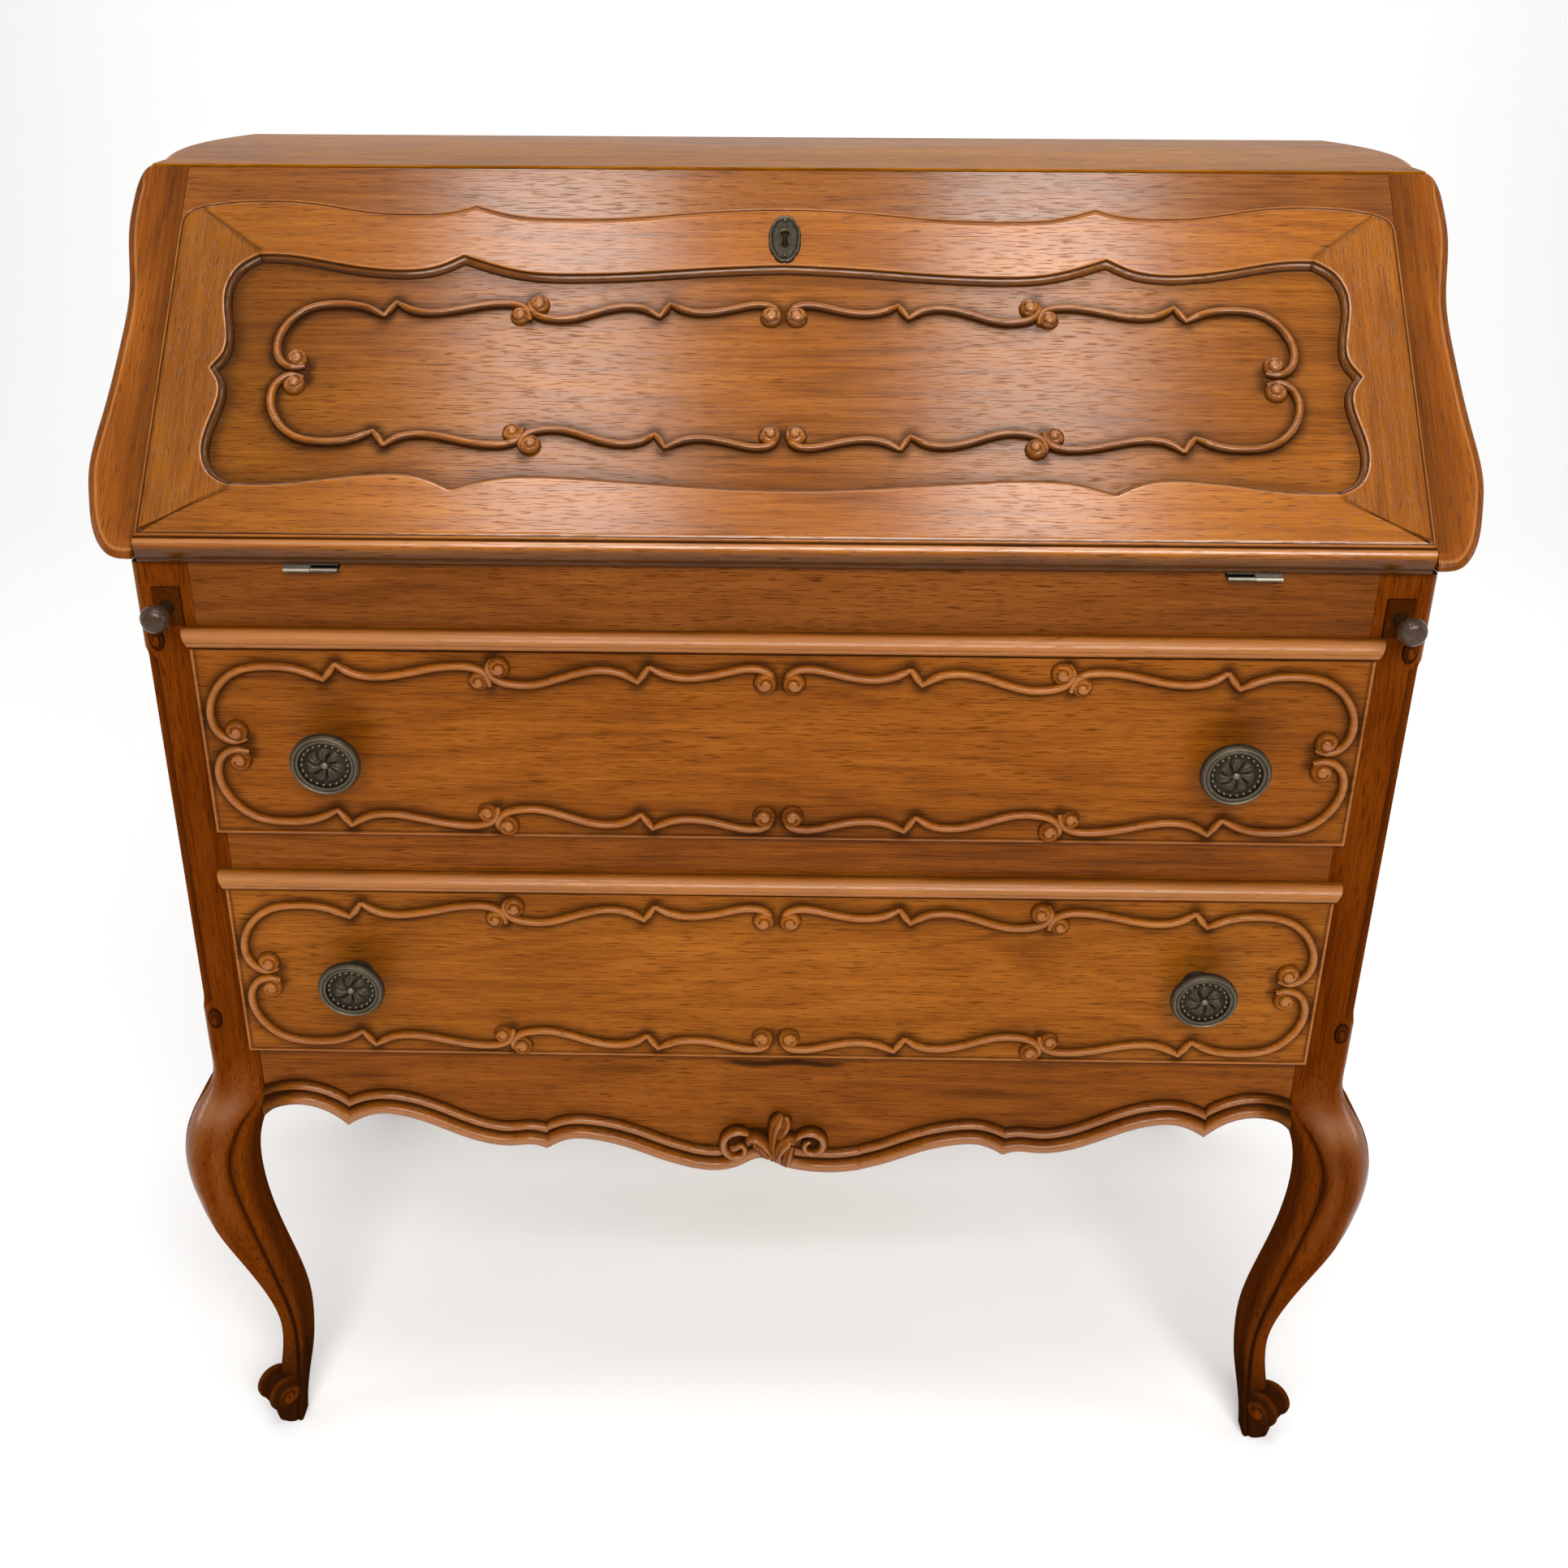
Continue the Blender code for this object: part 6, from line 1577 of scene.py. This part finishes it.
def wood_settings(name, **defaults):
    """A group of settings for one kind of wood."""
    kinds = {
        "dark": (colour, "Dark grain", "Colour of the darkest streaks"),
        "mid": (colour, "Wood", "Main colour of the wood"),
        "light": (colour, "Light grain", "Colour of the palest streaks"),
        # grime colours dirt, wax and painted shade; rubbed colours worn edges and painted highlights
        "grime": (colour, "Grime", "Wax and dirt left in hollows"),
        "rubbed": (colour, "Rubbed", "Colour of worn high edges"),
        "wax": (colour, "Wax", "Tint of the reflection"),
        "rings": (number, "Rings", "How many growth rings the figure shows"),
        "figure": (number, "Figure", "Strength of the growth rings"),
        "roughness": (number, "Roughness", "Roughness of the surface"),
        "specular": (number, "Sheen", "Strength of the reflection"),
    }
    made = {key: kind(label, words, defaults[key]) for key, (kind, label, words) in kinds.items()}
    return type(name, (bpy.types.PropertyGroup,), {"__annotations__": made})


DeskWalnut = wood_settings(
    "DeskWalnut", dark=(0.105, 0.0260, 0.0016), mid=(0.215, 0.0585, 0.0038), light=(0.315, 0.0980, 0.0090),
    grime=(0.014, 0.0045, 0.0015), rubbed=(0.42, 0.183, 0.068), wax=(1.0, 0.93, 0.86), rings=26.0,
    figure=0.07, roughness=0.17, specular=0.50)
DeskOak = wood_settings(
    "DeskOak", dark=(0.21, 0.115, 0.05), mid=(0.36, 0.225, 0.11), light=(0.47, 0.32, 0.175),
    grime=(0.05, 0.025, 0.012), rubbed=(0.5, 0.36, 0.21), wax=(1.0, 0.95, 0.9), rings=40.0, figure=0.10,
    roughness=0.6, specular=0.3)


class DeskCarving(bpy.types.PropertyGroup):
    bead_width: number("Bead width", "Width of the carved scrolls", 0.0068, "LENGTH")
    bead_height: number("Bead height", "How far the carved scrolls stand from their ground", 0.0046, "LENGTH")


class DeskStage(bpy.types.PropertyGroup):
    lens: number("Lens", "Focal length on a 36 mm wide sensor", 39.06, "CAMERA")
    camera_place: vector("Camera", "Place of the camera, y from the desk's front plane",
                         (0.0006, -1.1415, 1.1806), "TRANSLATION")
    camera_turn: vector("Turn", "Yaw, pitch and roll from looking level along +Y",
                        (radians(0.9085), radians(-25.7455), radians(-0.2712)), "EULER")
    camera_shift: vector("Shift", "Shift that frames the desk as in the photograph", (0.01847, 0.00027))
    floor_colour: colour("Floor", "Colour of the floor", (0.92, 0.92, 0.92))
    floor_roughness: number("Floor roughness", "Roughness of the floor", 0.9)
    room_colour: colour("Room", "Colour of the light from all round", (1.0, 0.99, 0.97))
    room_power: number("Room light", "Strength of the light from all round", 0.36)
    window_x: number("Window offset", "Distance of each window light from their middle", 0.405, "LENGTH")
    window_shift: number("Window shift", "Place of the windows' middle across the desk", 0.026, "LENGTH")
    window_yz: vector("Window place", "Distance from the front plane, and height", (-0.27, 2.60))
    window_size: vector("Window size", "Width and length of a window light", (0.34, 0.85))
    window_power: number("Window light", "Power of a window light", 7.0, "POWER")
    key_power: number("Key light", "Power of the front light", 150.0, "POWER")
    side_power: number("Side light", "Power of each side light", 7.0, "POWER")
    backdrop_power: number("Backdrop light", "Power of the light on the wall behind", 60.0, "POWER")


SETTINGS = {
    "desk_walnut": DeskWalnut, "desk_oak": DeskOak, "desk_carving": DeskCarving, "desk_stage": DeskStage,
}


class DESK_PT_pieces(bpy.types.Panel):
    """Lists the operators that build the desk's looks"""
    bl_idname = "DESK_PT_pieces"
    bl_label = "Desk"
    bl_space_type = "VIEW_3D"
    bl_region_type = "UI"
    bl_category = "Desk"

    def draw(self, context):
        for operator in OPERATORS:
            self.layout.operator(operator.bl_idname)


OPERATORS = (
    DESK_OT_fall,
    DESK_OT_drawers,
    DESK_OT_slope_case,
    DESK_OT_legs,
    DESK_OT_apron,
    DESK_OT_fittings,
    DESK_OT_cad_finishes,
    DESK_OT_stage,
)
CLASSES = (*SETTINGS.values(), *OPERATORS, DESK_PT_pieces)


def register():
    for cls in CLASSES:
        bpy.utils.register_class(cls)
    for name, cls in SETTINGS.items():
        setattr(bpy.types.Scene, name, PointerProperty(type=cls))


def unregister():
    for name in SETTINGS:
        delattr(bpy.types.Scene, name)
    for cls in reversed(CLASSES):
        bpy.utils.unregister_class(cls)


def main():
    register()
    for operator in OPERATORS:
        group, name = operator.bl_idname.split(".")
        getattr(getattr(bpy.ops, group), name)()


if __name__ == "__main__":
    main()
